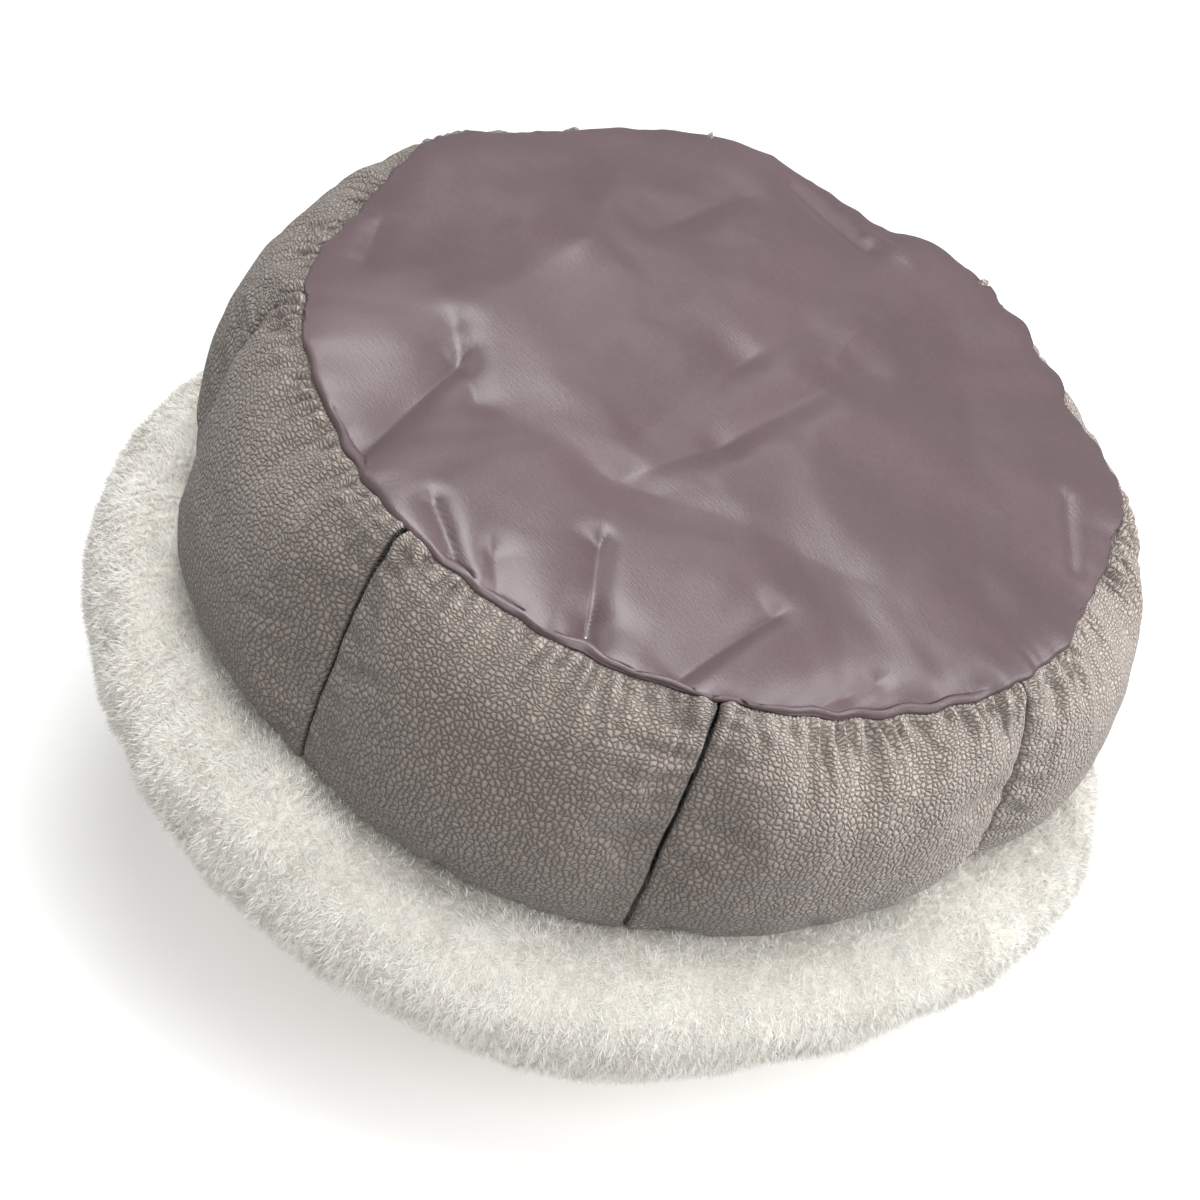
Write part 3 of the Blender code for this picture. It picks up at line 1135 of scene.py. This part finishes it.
@dataclass
class PuffedWall:
    """The eight puffed microfibre panels round the side.

    Attributes:
        form: The bed's form.
        finish: Their cloth.
        across: Cells from seam to seam.
        up: Cells from base to collar.
        thickness: The cloth's thickness.
        lumps: Height of the lumps that a panel starts with.
        plump: How far each panel swells against its neighbours.
        map_step: How far one panel's cloth lies from the next on the flat cloth, in panel widths.
        base_gathers: The gathers along the base.
        collar_gathers: The gathers along the collar.
        side_gathers: The gathers along the upright seams.
        recipe: How it is blown out.
    """

    form: BedForm
    finish: MicrofibreFinish = MicrofibreFinish()
    across: int = 60
    up: int = 54
    thickness: float = 0.0015
    lumps: float = 0.0009
    plump: float = 0.0030
    map_step: float = 1.37
    base_gathers: Puckers = Puckers(0.0092, 0.0078, 0.024, 0.7)
    collar_gathers: Puckers = Puckers(0.015, 0.0024, 0.014, 0.8)
    side_gathers: Puckers = Puckers(0.0145, 0.0030, 0.022, 0.7)
    recipe: ClothRecipe = ClothRecipe(
        pressure=5.0, seam_slack=0.20, middle_slack=0.05, tension=16, bending=0.15, frames=28, reach=0.016
    )

    def cut(self, number: int) -> bpy.types.Object:
        """Lay one panel between its four seams.

        Args:
            number: Which panel, from 1.

        Returns:
            The sheet, with its cloth ready to settle.
        """
        piece = add_grid(f"wall_puff_{number}", self.across, self.up)
        share, height = grid_shares(piece)
        angle = FRONT_ANGLE + (number - 1 + share) * PANEL_ANGLE
        places = self.form.wall(angle, height)
        outwards = np.stack([np.cos(angle), np.sin(angle), 0 * angle], axis=1)
        inside = np.minimum(np.minimum(share, 1 - share), np.minimum(height, 1 - height))
        ripple = Noise(40 + number).rough(places, 0.016, 2) * smooth(0, 0.06, inside)
        set_points(piece, places + self.lumps * ripple[:, None] * outwards)
        wide, tall = self.flat_size()
        lay_cloth_map(piece, np.stack([(share + self.map_step * number) * wide, height * tall], axis=1))
        flip_towards(piece, np.array([math.cos(angle.mean()), math.sin(angle.mean()), 0]))
        held = np.where(inside < 1e-5, 1.0, 0.0)
        from_base = 1 - smooth(0.0, 0.35, height)
        from_collar = 1 - smooth(0.0, 0.18, 1 - height)
        from_side = 1 - smooth(0.0, 0.16, np.minimum(share, 1 - share))
        gathered = np.maximum(from_base, np.maximum(0.6 * from_collar, 0.35 * from_side))
        self.recipe.prepare(piece, held, gathered)
        return piece

    def seam_distances(self, piece: bpy.types.Object, number: int) -> tuple[np.ndarray, ...]:
        """How far each corner of a panel is from its left, right, base and collar seams."""
        wide, tall = self.flat_size()
        flat = cloth_map_of(piece)
        across = flat[:, 0] - self.map_step * number * wide
        return across, wide - across, flat[:, 1], tall - flat[:, 1]

    def ease(self, piece: bpy.types.Object, number: int) -> np.ndarray:
        """Share of its way that each corner of a panel may go, less near its seams."""
        left, right, base, collar = self.seam_distances(piece, number)
        return smooth(0.0, 0.024, np.minimum(left, right)) * smooth(0.0, 0.006, np.minimum(base, collar))

    def gather(self, piece: bpy.types.Object, number: int) -> None:
        """Pucker a settled panel along its four seams."""
        left, right, base, collar = self.seam_distances(piece, number)
        ripple = self.base_gathers.at(left, base, 300 + number)
        ripple += self.collar_gathers.at(left, collar, 320 + number)
        side = np.minimum(left, right)
        sides = self.side_gathers.at(base, left, 340 + number)
        sides += self.side_gathers.at(base, right, 360 + number)
        ripple += sides * smooth(0.0, 0.009, side)
        plump = self.plump * smooth(0.0, 0.004, side) * np.exp(-((side / 0.013) ** 2))
        edge = np.minimum(side, np.minimum(base, collar))
        push_out(piece, (ripple + plump) * smooth(0.0, 0.003, edge))

    def flat_size(self) -> tuple[float, float]:
        """Width and height of a panel's flat cloth."""
        return self.form.sizes.wall_radius * PANEL_ANGLE, 1.25 * self.form.sizes.wall_top

    def sew(self, piece: bpy.types.Object, number: int, cloth: bpy.types.Material) -> None:
        """Give a settled panel its thickness, its cloth and its place in the frame."""
        refine(piece)
        self.gather(piece, number)
        give_thickness(piece, self.thickness)
        piece.data.materials.append(cloth)
        place_piece(piece, f"wall_panel_{number}")


# ---------------------------------------------------------------- plush pieces


class Skin:
    """The outer face of a plush backing as a grid of places, on which pile is rooted."""

    def __init__(self, places: np.ndarray, outward_sign: float) -> None:
        """Measure the grid.

        Args:
            places: Rows, then columns, then three numbers.
            outward_sign: 1 or -1, so that the normals point out of the plush.
        """
        self.places = places
        by_row = np.gradient(places, axis=0)
        by_column = np.gradient(places, axis=1)
        normals = outward_sign * np.cross(by_row, by_column)
        self.area = np.linalg.norm(normals, axis=2)
        self.normals = normals / (self.area[..., None] + 1e-15)
        self.comb = by_column / (np.linalg.norm(by_column, axis=2, keepdims=True) + 1e-15)

    def read(self, row: np.ndarray, column: np.ndarray) -> tuple[np.ndarray, ...]:
        """Read between the grid's points.

        Args:
            row: How far through the rows, 0 to 1.
            column: How far through the columns.

        Returns:
            Places, normals, the way the columns run, and how large the grid's cell is there.
        """
        rows, columns = self.area.shape
        at_row = np.clip(row * (rows - 1), 0, rows - 1.001)
        at_column = np.clip(column * (columns - 1), 0, columns - 1.001)
        low_row = at_row.astype(int)
        low_column = at_column.astype(int)
        blend_row = (at_row - low_row)[:, None]
        blend_column = (at_column - low_column)[:, None]

        def between(field: np.ndarray) -> np.ndarray:
            near = lerp(field[low_row, low_column], field[low_row, low_column + 1], blend_column)
            far = lerp(field[low_row + 1, low_column], field[low_row + 1, low_column + 1], blend_column)
            return lerp(near, far, blend_row)

        normals = between(self.normals)
        normals /= np.linalg.norm(normals, axis=1, keepdims=True)
        return between(self.places), normals, between(self.comb), between(self.area[..., None])[:, 0]


@dataclass(frozen=True)
class Pile:
    """Short plush pile, as leaf-shaped locks of two triangles.

    Attributes:
        length: A lock's length.
        width: Its width at the middle.
        per_area: How many locks stand on a square metre.
        flow: How strongly neighbouring locks lean one way.
        clump: How strongly they gather into clumps.
        stray: How much each leans its own way.
        combed: A lean that all share, along the skin's columns.
        rooted: How deep its roots go into the skin.
    """

    length: float = 0.0064
    width: float = 0.00040
    per_area: float = 1.5e6
    flow: float = 0.35
    clump: float = 0.50
    stray: float = 0.55
    combed: float = 0.12
    rooted: float = 0.0012

    def grow(self, name: str, skin: Skin, tones: list[bpy.types.Material], seed: int) -> bpy.types.Object:
        """Root the pile on a skin.

        Args:
            name: The new piece's name.
            skin: What it stands on.
            tones: Its materials, from the commonest.
            seed: Picks one arrangement.

        Returns:
            The new piece.
        """
        fullest = skin.area.max() * skin.area.size
        tries = int(self.per_area * fullest)
        index = np.arange(1, tries + 1) + SEED_STRIDE * seed
        noise = Noise(seed)
        cells = np.stack([index, index // 7, index // 3], axis=1)
        jitter = 1.5 / math.sqrt(tries)
        row = np.remainder(index * SPREAD_STEPS[0] + jitter * noise.lattice(cells, 6), 1.0)
        column = np.remainder(index * SPREAD_STEPS[1] + jitter * noise.lattice(cells, 7), 1.0)
        chance = np.remainder(index * SPREAD_STEPS[2], 1.0)
        place, normal, comb, area = skin.read(row, column)
        kept = chance * skin.area.max() < area
        place, normal, comb, cells = place[kept], normal[kept], comb[kept], cells[kept]
        own = np.stack([noise.lattice(cells, salt) for salt in (1, 2, 3)], axis=1)
        flow = np.stack([noise.at(place + 3.1 * axis, 0.026) for axis in range(3)], axis=1)
        clump = np.stack([noise.at(place + 5.7 * axis, 0.0075) for axis in range(3)], axis=1)
        lean = self.flow * flow + self.clump * clump + self.stray * own + self.combed * comb
        lean -= normal * np.sum(lean * normal, axis=1, keepdims=True)
        rise = 0.75 * normal + lean
        rise /= np.linalg.norm(rise, axis=1, keepdims=True)
        bend = 0.30 * normal + 1.2 * lean
        bend /= np.linalg.norm(bend, axis=1, keepdims=True)
        length = self.length * (0.82 + 0.26 * noise.lattice(cells, 4) + 0.12 * clump[:, 0])
        root = place - self.rooted * normal
        middle = root + rise * (0.5 * length)[:, None]
        tip = middle + bend * (0.5 * length)[:, None]
        side = np.cross(normal, rise)
        side += 0.35 * np.linalg.norm(side, axis=1, keepdims=True) * own
        side *= 0.5 * self.width / (np.linalg.norm(side, axis=1, keepdims=True) + 1e-9)
        corners = np.stack([root, middle - side, middle + side, tip], axis=1).reshape(-1, 3)
        tone = noise.lattice(cells, 5) + 0.5 * clump[:, 1]
        pick = np.where(tone > 0.55, 1, np.where(tone < -0.62, 2, 0))
        return self._mesh(name, corners, np.repeat(pick, 2), tones)

    @staticmethod
    def _mesh(
        name: str, corners: np.ndarray, pick: np.ndarray, tones: list[bpy.types.Material]
    ) -> bpy.types.Object:
        """Make the mesh of all the locks."""
        locks = len(corners) // 4
        mesh = bpy.data.meshes.new(name)
        mesh.vertices.add(len(corners))
        mesh.vertices.foreach_set("co", corners.astype(np.float32).ravel())
        two_faces = np.array([0, 1, 2, 1, 3, 2], np.int32)
        order = (4 * np.arange(locks, dtype=np.int32)[:, None] + two_faces).ravel()
        mesh.loops.add(len(order))
        mesh.loops.foreach_set("vertex_index", order)
        mesh.polygons.add(2 * locks)
        mesh.polygons.foreach_set("loop_start", np.arange(0, len(order), 3, dtype=np.int32))
        mesh.polygons.foreach_set("material_index", pick.astype(np.int32))
        mesh.update(calc_edges=True)
        mesh.shade_smooth()
        for tone in tones:
            mesh.materials.append(tone)
        piece = bpy.data.objects.new(name, mesh)
        bpy.context.scene.collection.objects.link(piece)
        return piece


@dataclass
class PlushCollar:
    """The thick plush roll round the rim.

    Attributes:
        form: The bed's form.
        finish: Its plush.
        pile: Its pile.
        depth: How far the backing lies inside the pile's tips.
        lumps: Height of the lumps that its filling makes.
        first_swing: Where the pile starts at the wall's seam, in degrees round the section.
        last_swing: Where it ends at the lining's seam.
        steps: Steps of the backing round the bed.
        section_steps: Steps round its section.
    """

    form: BedForm
    finish: PlushFinish = PlushFinish()
    pile: Pile = Pile()
    depth: float = 0.0045
    lumps: float = 0.0030
    first_swing: float = -100.0
    last_swing: float = 246.0
    steps: int = 288
    section_steps: int = 72

    def surface(self, angle: np.ndarray, swing: np.ndarray) -> np.ndarray:
        """Place points on the lumpy backing.

        Args:
            angle: Angles round the bed, flat.
            swing: Angles round the section.

        Returns:
            Places, three numbers to a row.
        """
        probe = 0.02
        even = self.form.collar(angle, swing, self.depth)
        outwards = (even - self.form.collar(angle, swing, self.depth + probe)) / probe
        lump = Noise(61).rough(even, 0.055, 2) + 0.75 * Noise(62).rough(even, 0.019, 2)
        return even + self.lumps * lump[:, None] * outwards

    def build(self, tones: list[bpy.types.Material], ground: bpy.types.Material) -> list[bpy.types.Object]:
        """Make the backing and its pile.

        Args:
            tones: The pile's materials.
            ground: The backing's material.

        Returns:
            The pieces.
        """
        backing = add_ring("collar_backing", self.steps, self.section_steps)
        raw = points_of(backing)
        angle = np.arctan2(raw[:, 1], raw[:, 0])
        swing = np.arctan2(raw[:, 2], np.hypot(raw[:, 0], raw[:, 1]) - 1)
        set_points(backing, self.surface(angle, swing))
        backing.data.shade_smooth()
        backing.data.materials.append(ground)
        place_piece(backing, "collar_cover")
        pieces = [backing]
        swings = np.radians(np.linspace(self.first_swing, self.last_swing, 181))
        for number in range(1, PANEL_COUNT + 1):
            angles = FRONT_ANGLE + PANEL_ANGLE * (number - 1 + np.linspace(0, 1, 121))
            wide, tall = np.meshgrid(angles, swings, indexing="ij")
            places = self.surface(wide.ravel(), tall.ravel()).reshape(*wide.shape, 3)
            pieces.append(self.pile.grow(f"collar_pile_{number}", Skin(places, 1), tones, 100 + number))
            place_piece(pieces[-1])
        return pieces


@dataclass
class PlushWell:
    """The plush lining and seat inside the collar.

    Attributes:
        form: The bed's form.
        pile: Its pile.
        depth: How far the backings lie inside the pile's tips.
        thickness: The backings' thickness.
        seat_tuck: How far the seat's rim is tucked out under the lining.
        seat_lumps: Height of the lumps in the seat.
        lining_lumps: Height of the lumps in the lining.
        lining_rise: How far the top of the lining is drawn up behind the collar.
        across: Cells round the lining's backing.
        up: Cells up it.
        seat_cells: Cells each way in the seat's.
        recipe: How the seat is blown out.
    """

    form: BedForm
    pile: Pile = Pile(per_area=0.85e6, width=0.00095)
    depth: float = 0.006
    thickness: float = 0.002
    seat_tuck: float = 0.006
    seat_lumps: float = 0.0012
    lining_lumps: float = 0.0018
    lining_rise: float = 0.010
    across: int = 256
    up: int = 40
    seat_cells: int = 72
    recipe: ClothRecipe = ClothRecipe(
        pressure=1.5, seam_slack=0.03, middle_slack=0.01, tension=12, bending=2.0, frames=18, reach=0.006
    )

    def cut_seat(self) -> bpy.types.Object:
        """Lay the seat's backing on its seam, crowned."""
        sizes = self.form.sizes
        piece = add_grid("seat_backing", self.seat_cells, self.seat_cells)
        angle, share = round_off(*grid_shares(piece))
        height = sizes.seat_edge - self.depth + sizes.seat_crown * (1 - share**2) ** 0.8
        places = around(angle, (sizes.seat_radius + self.seat_tuck) * share, height)
        places[:, 2] += self.seat_lumps * Noise(71).rough(places, 0.05, 2) * (1 - share**4)
        set_points(piece, places)
        flip_towards(piece, np.array([0, 0, 1]))
        held = np.where(share > 0.9999, 1.0, 0.0)
        self.recipe.prepare(piece, held, smooth(0.7, 1.0, share))
        return piece

    def line(self) -> bpy.types.Object:
        """Lay the lining's backing, a closed band of the eight inner puffs."""
        piece = add_grid("lining_backing", self.across, self.up)
        share, height = grid_shares(piece)
        places = self._lining(2 * math.pi * share, height)
        set_points(piece, places)
        weld(piece, 0.00001, closed=False)
        middle = piece.data.polygons[len(piece.data.polygons) // 2]
        flip_towards(piece, -np.array(middle.center) * (1, 1, 0))
        return piece

    def _lining(self, angle: np.ndarray, share: np.ndarray) -> np.ndarray:
        """Place points on the lining's backing."""
        even = self.form.lining(angle, share)
        even[:, 2] += self.lining_rise * smooth(0.85, 1.0, share)
        inwards = -np.stack([np.cos(angle), np.sin(angle), 0 * angle], axis=1)
        lump = Noise(72).rough(even, 0.04, 2)
        return even + (self.lining_lumps * lump - self.depth)[:, None] * inwards

    def sew(
        self,
        seat: bpy.types.Object,
        lining: bpy.types.Object,
        tones: list[bpy.types.Material],
        ground: bpy.types.Material,
    ) -> list[bpy.types.Object]:
        """Give the settled backings their thickness and pile, and place all of it in the frame.

        Args:
            seat: The seat's settled sheet.
            lining: The lining's sheet.
            tones: The pile's materials.
            ground: The backings' material.

        Returns:
            The pieces.
        """
        side = self.seat_cells + 1
        seat_skin = Skin(points_of(seat).reshape(side, side, 3), -1)
        pieces = [seat, lining]
        for piece, node in ((seat, "seat_cover"), (lining, "wall_lining")):
            give_thickness(piece, self.thickness)
            piece.data.materials.append(ground)
            place_piece(piece, node)
        pieces.append(self.pile.grow("seat_pile", seat_skin, tones, 201))
        shares = np.linspace(0, 1, 81)
        for number in range(1, 3):
            angles = math.pi * (number - 1 + np.linspace(0, 1, 361))
            wide, tall = np.meshgrid(angles, shares, indexing="ij")
            places = self._lining(wide.ravel(), tall.ravel()).reshape(*wide.shape, 3)
            pieces.append(self.pile.grow(f"lining_pile_{number}", Skin(places, -1), tones, 210 + number))
        for piece in pieces[2:]:
            place_piece(piece)
        return pieces


@dataclass
class Wadding:
    """The loose filling inside the wall, the collar and the seat.

    Attributes:
        finish: Its look.
        inset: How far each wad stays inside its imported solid.
        tufts: Height of its tufts.
    """

    finish: WaddingFinish = WaddingFinish()
    inset: float = 0.009
    tufts: float = 0.0015

    def stuff(self, node: str, material: bpy.types.Material) -> None:
        """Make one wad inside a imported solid.

        Args:
            node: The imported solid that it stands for.
            material: Its material.
        """
        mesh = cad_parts[node].data.copy()
        piece = bpy.data.objects.new(f"{node}_tufts", mesh)
        mesh.name = piece.name
        mesh.materials.clear()
        bpy.context.scene.collection.objects.link(piece)
        weld(piece, 0.00002, closed=True)
        push_out(piece, -self.inset - self.tufts * Noise(81).rough(points_of(piece), 0.012, 2))
        piece.data.shade_smooth()
        piece.data.materials.append(material)
        place_piece(piece, node)


# ---------------------------------------------------------------- studio


class Lit(Enum):
    """What a lamp lights."""

    ALL = "all"
    FLOOR = "floor"
    WALL = "wall"
    INSIDE = "inside"
    COLLAR = "collar"


@dataclass(frozen=True)
class Lamp:
    """One soft square lamp, placed by its direction from the bed in the camera's axes.

    Attributes:
        name: Its name.
        towards: Right, up and towards the camera.
        distance: How far off it stands, in metres.
        size: Its side, in metres.
        power: Its power, in watts.
        lights: What it lights.
    """

    name: str
    towards: tuple[float, float, float]
    distance: float
    size: float
    power: float
    lights: Lit = Lit.ALL


@dataclass(frozen=True)
class Studio:
    """The camera, the floor and the lamps, as one rigid set round the overturned bed.

    Attributes:
        tilt: Angle between the bed's axis and the line of sight.
        roll: How far the bed's axis leans sideways, as the camera sees it.
        front_turn: Where the bed's front is round its axis.
        aim_height: Height on the bed's axis of the point that the rest is measured from.
        offset: Where that point is from the camera, right, up and towards it.
        lens: The camera's lens on its 36 mm sensor, in millimetres.
        floor_rise: How far the camera looks down on the floor.
        floor_radius: The floor's radius, in metres.
        sky: Strength of the light from above.
        bounce: Strength of the light that the floor gives back.
        paleness: How pale the floor is.
        lamps: The lamps.
    """

    tilt: float = math.radians(49.52)
    roll: float = math.radians(23.61)
    front_turn: float = math.radians(59.6)
    aim_height: float = 0.0927
    offset: tuple[float, float, float] = (0.0253, 0.0256, -1.761)
    lens: float = 112.85
    floor_rise: float = math.radians(37)
    floor_radius: float = 1.6
    sky: float = 0.35
    bounce: float = 0.30
    paleness: float = 0.92
    lamps: tuple[Lamp, ...] = (
        Lamp("overhead_softbox", (0.14, 0.86, 0.50), 1.7, 1.0, 15),
        Lamp("right_softbox", (0.98, 0.05, 0.18), 1.6, 0.8, 9),
        Lamp("right_low", (0.85, -0.40, 0.35), 1.7, 1.0, 3),
        Lamp("right_high", (0.80, 0.50, 0.35), 1.8, 0.7, 8),
        Lamp("front_fill", (0.15, -0.15, 1.0), 1.9, 1.5, 20),
        Lamp("top_front", (0.05, 0.65, 0.75), 1.8, 0.9, 12),
        Lamp("top_left", (-0.50, 0.85, 0.05), 1.8, 0.8, 3),
        Lamp("back_top", (0.34, 0.93, -0.12), 1.8, 0.6, 1.4),
        Lamp("wall_right", (0.92, 0.15, 0.15), 1.6, 0.7, 28, Lit.WALL),
        Lamp("wall_left", (-0.62, 0.75, -0.10), 1.6, 0.7, 3, Lit.WALL),
        Lamp("floor_wash", (0.55, 0.10, 0.85), 1.9, 1.0, 13, Lit.FLOOR),
        Lamp("upright_key", (-0.45, -0.75, -0.40), 1.8, 1.2, 50, Lit.INSIDE),
        Lamp("upright_rim", (-0.28, -0.62, -0.75), 1.8, 1.2, 36, Lit.COLLAR),
    )

    def bed_axes(self) -> np.ndarray:
        """The bed's X, Y and Z in the camera's axes, as columns."""
        sideways = np.array([math.cos(self.roll), -math.sin(self.roll), 0])
        upright = np.array([
            -math.sin(self.roll) * math.sin(self.tilt),
            -math.cos(self.roll) * math.sin(self.tilt),
            -math.cos(self.tilt),
        ])
        facing = np.cross(upright, sideways)
        x_axis = -math.cos(self.front_turn) * sideways + math.sin(self.front_turn) * facing
        y_axis = -math.sin(self.front_turn) * sideways - math.cos(self.front_turn) * facing
        return np.stack([x_axis, y_axis, upright], axis=1)

    def matrix(self) -> Matrix:
        """The camera's place and turn in the bed's frame."""
        turn = self.bed_axes().T
        place = np.array([0, 0, self.aim_height]) - turn @ np.array(self.offset)
        made = Matrix(turn.tolist()).to_4x4()
        made.translation = Vector(place)
        return made

    def up(self) -> Vector:
        """The studio's up in the bed's frame."""
        in_camera = np.array([0, math.cos(self.floor_rise), math.sin(self.floor_rise)])
        return Vector(self.bed_axes().T @ in_camera)

    def build_camera(self) -> None:
        """Add the camera."""
        data = bpy.data.cameras.new("camera")
        data.lens = self.lens
        data.sensor_width = 36
        data.clip_start = 0.05
        data.clip_end = 50
        camera = bpy.data.objects.new("camera", data)
        camera.matrix_world = self.matrix()
        bpy.context.scene.collection.objects.link(camera)
        bpy.context.scene.camera = camera

    def build_lamps(self, lit: dict[Lit, list[bpy.types.Object]]) -> None:
        """Add the soft lamps.

        Args:
            lit: The pieces that a lamp lights, where it doesn't light all.
        """
        for lamp in self.lamps:
            data = bpy.data.lights.new(lamp.name, "AREA")
            data.shape = "SQUARE"
            data.size = lamp.size
            data.energy = lamp.power
            piece = bpy.data.objects.new(lamp.name, data)
            towards = self.bed_axes().T @ (np.array(lamp.towards) / np.linalg.norm(lamp.towards))
            aim = Vector((0, 0, self.aim_height))
            piece.matrix_world = Vector(towards).to_track_quat("Z", "Y").to_matrix().to_4x4()
            piece.matrix_world.translation = aim + Vector(towards) * lamp.distance
            piece.visible_camera = False
            bpy.context.scene.collection.objects.link(piece)
            if lamp.lights in lit:
                receivers = bpy.data.collections.new(lamp.name)
                for each in lit[lamp.lights]:
                    receivers.objects.link(each)
                piece.light_linking.receiver_collection = receivers

    def floor_material(self) -> bpy.types.Material:
        """A plain pale floor that shows from above only."""
        shader = Shader("pale_floor")
        pale = shader.node("BsdfDiffuse", Color=(self.paleness, self.paleness, self.paleness))
        clear = shader.node("BsdfTransparent")
        behind = shader.node("NewGeometry", "Backfacing")
        node = shader.tree.nodes.new("ShaderNodeMixShader")
        for socket, value in zip(node.inputs, (behind, pale, clear)):
            feed(shader.tree, socket, value)
        return shader.finish(Wire(shader.tree, node.outputs[0]))

    def lay_floor(
        self, name: str, up: Vector, level: float, material: bpy.types.Material
    ) -> bpy.types.Object:
        """Lay a round floor.

        Args:
            name: Its name.
            up: Which way it faces.
            level: Where it lies along that direction from the frame's origin.
            material: Its material.

        Returns:
            The floor.
        """
        bpy.ops.object.select_all(action="DESELECT")
        bpy.ops.mesh.primitive_circle_add(vertices=96, radius=self.floor_radius, fill_type="NGON")
        floor = named(name)
        turn = up.to_track_quat("Z", "Y").to_matrix().to_4x4()
        floor.data.transform(Matrix.Translation(up * level) @ turn)
        floor.data.materials.append(material)
        floor.visible_diffuse = False
        floor.visible_glossy = False
        floor.visible_transmission = False
        floor.visible_shadow = False
        return floor

    def light_world(self) -> None:
        """Set the surroundings: white to the camera, and brighter from below, as a white floor makes them."""
        world = bpy.data.worlds.new("white_studio")
        bpy.context.scene.world = world
        world.use_nodes = True
        tree = world.node_tree
        background = tree.nodes["Background"]
        feed(tree, background.inputs["Color"], (1.0, 1.0, 1.0))
        path = tree.nodes.new("ShaderNodeLightPath")
        seen = Wire(tree, path.outputs["Is Camera Ray"])
        towards = tree.nodes.new("ShaderNodeTexCoord")
        height = tree.nodes.new("ShaderNodeVectorMath")
        height.operation = "DOT_PRODUCT"
        feed(tree, height.inputs[0], Wire(tree, towards.outputs["Generated"]))
        height.inputs[1].default_value = self.up()
        from_below = 1 - Wire(tree, height.outputs["Value"]).ramp(-0.4, 0.5)
        strength = self.sky + (self.bounce - self.sky) * from_below
        feed(tree, background.inputs["Strength"], strength + (1 - strength) * seen)

    def build(
        self, lowest_along: float, lowest_upright: float, lit: dict[Lit, list[bpy.types.Object]]
    ) -> None:
        """Build the whole studio.

        Args:
            lowest_along: Where the bed touches the studio's floor, along the studio's up.
            lowest_upright: The bed's lowest height as it stands.
            lit: The pieces that a lamp lights, where it doesn't light all.
        """
        self.build_camera()
        self.light_world()
        material = self.floor_material()
        floor = self.lay_floor("floor", self.up(), lowest_along, material)
        upright = self.lay_floor("floor_upright", Vector((0, 0, 1)), lowest_upright, material)
        self.build_lamps({**lit, Lit.FLOOR: [floor], Lit.INSIDE: [upright, *lit[Lit.INSIDE]]})
        view = bpy.context.scene.view_settings
        view.view_transform = "Standard"


def lowest(pieces: list[bpy.types.Object], up: Vector) -> float:
    """How far along a direction the lowest corner of these pieces is."""
    return min(float((points_of(piece) @ np.array(up)).min()) for piece in pieces)


def main() -> None:
    """Build the bed and its studio."""
    form = BedForm(BedSizes.from_frame())
    base = SatinBase(form)
    wall = PuffedWall(form)
    well = PlushWell(form)
    base_sheet = base.cut()
    panels = [wall.cut(number) for number in range(1, PANEL_COUNT + 1)]
    seat = well.cut_seat()
    lining = well.line()
    wall.recipe.settle(panels, [wall.ease(panel, number) for number, panel in enumerate(panels, 1)])
    for sheet, recipe in ((base_sheet, base.recipe), (seat, well.recipe)):
        recipe.settle([sheet], [np.ones(len(sheet.data.vertices))])
    base.sew(base_sheet)
    microfibre = wall.finish.material()
    for number, panel in enumerate(panels, 1):
        wall.sew(panel, number, microfibre)
    collar = PlushCollar(form)
    tones = collar.finish.pile_materials()
    ground = collar.finish.ground_material()
    roll = collar.build(tones, ground)
    inside = well.sew(seat, lining, tones, ground)
    wadding = Wadding()
    filling = wadding.finish.material()
    hidden = ["seat_fill", "collar_fill"]
    hidden += [f"wall_wadding_{number}" for number in range(1, PANEL_COUNT + 1)]
    for node in hidden:
        wadding.stuff(node, filling)
    studio = Studio()
    lit = {Lit.WALL: panels, Lit.INSIDE: inside, Lit.COLLAR: roll}
    floor_level = lowest(roll, studio.up()) + PILE_PRESS
    studio.build(floor_level, lowest([base_sheet], Vector((0, 0, 1))), lit)


if __name__ == "__main__":
    logging.basicConfig(level=logging.INFO, format="%(message)s")
    main()
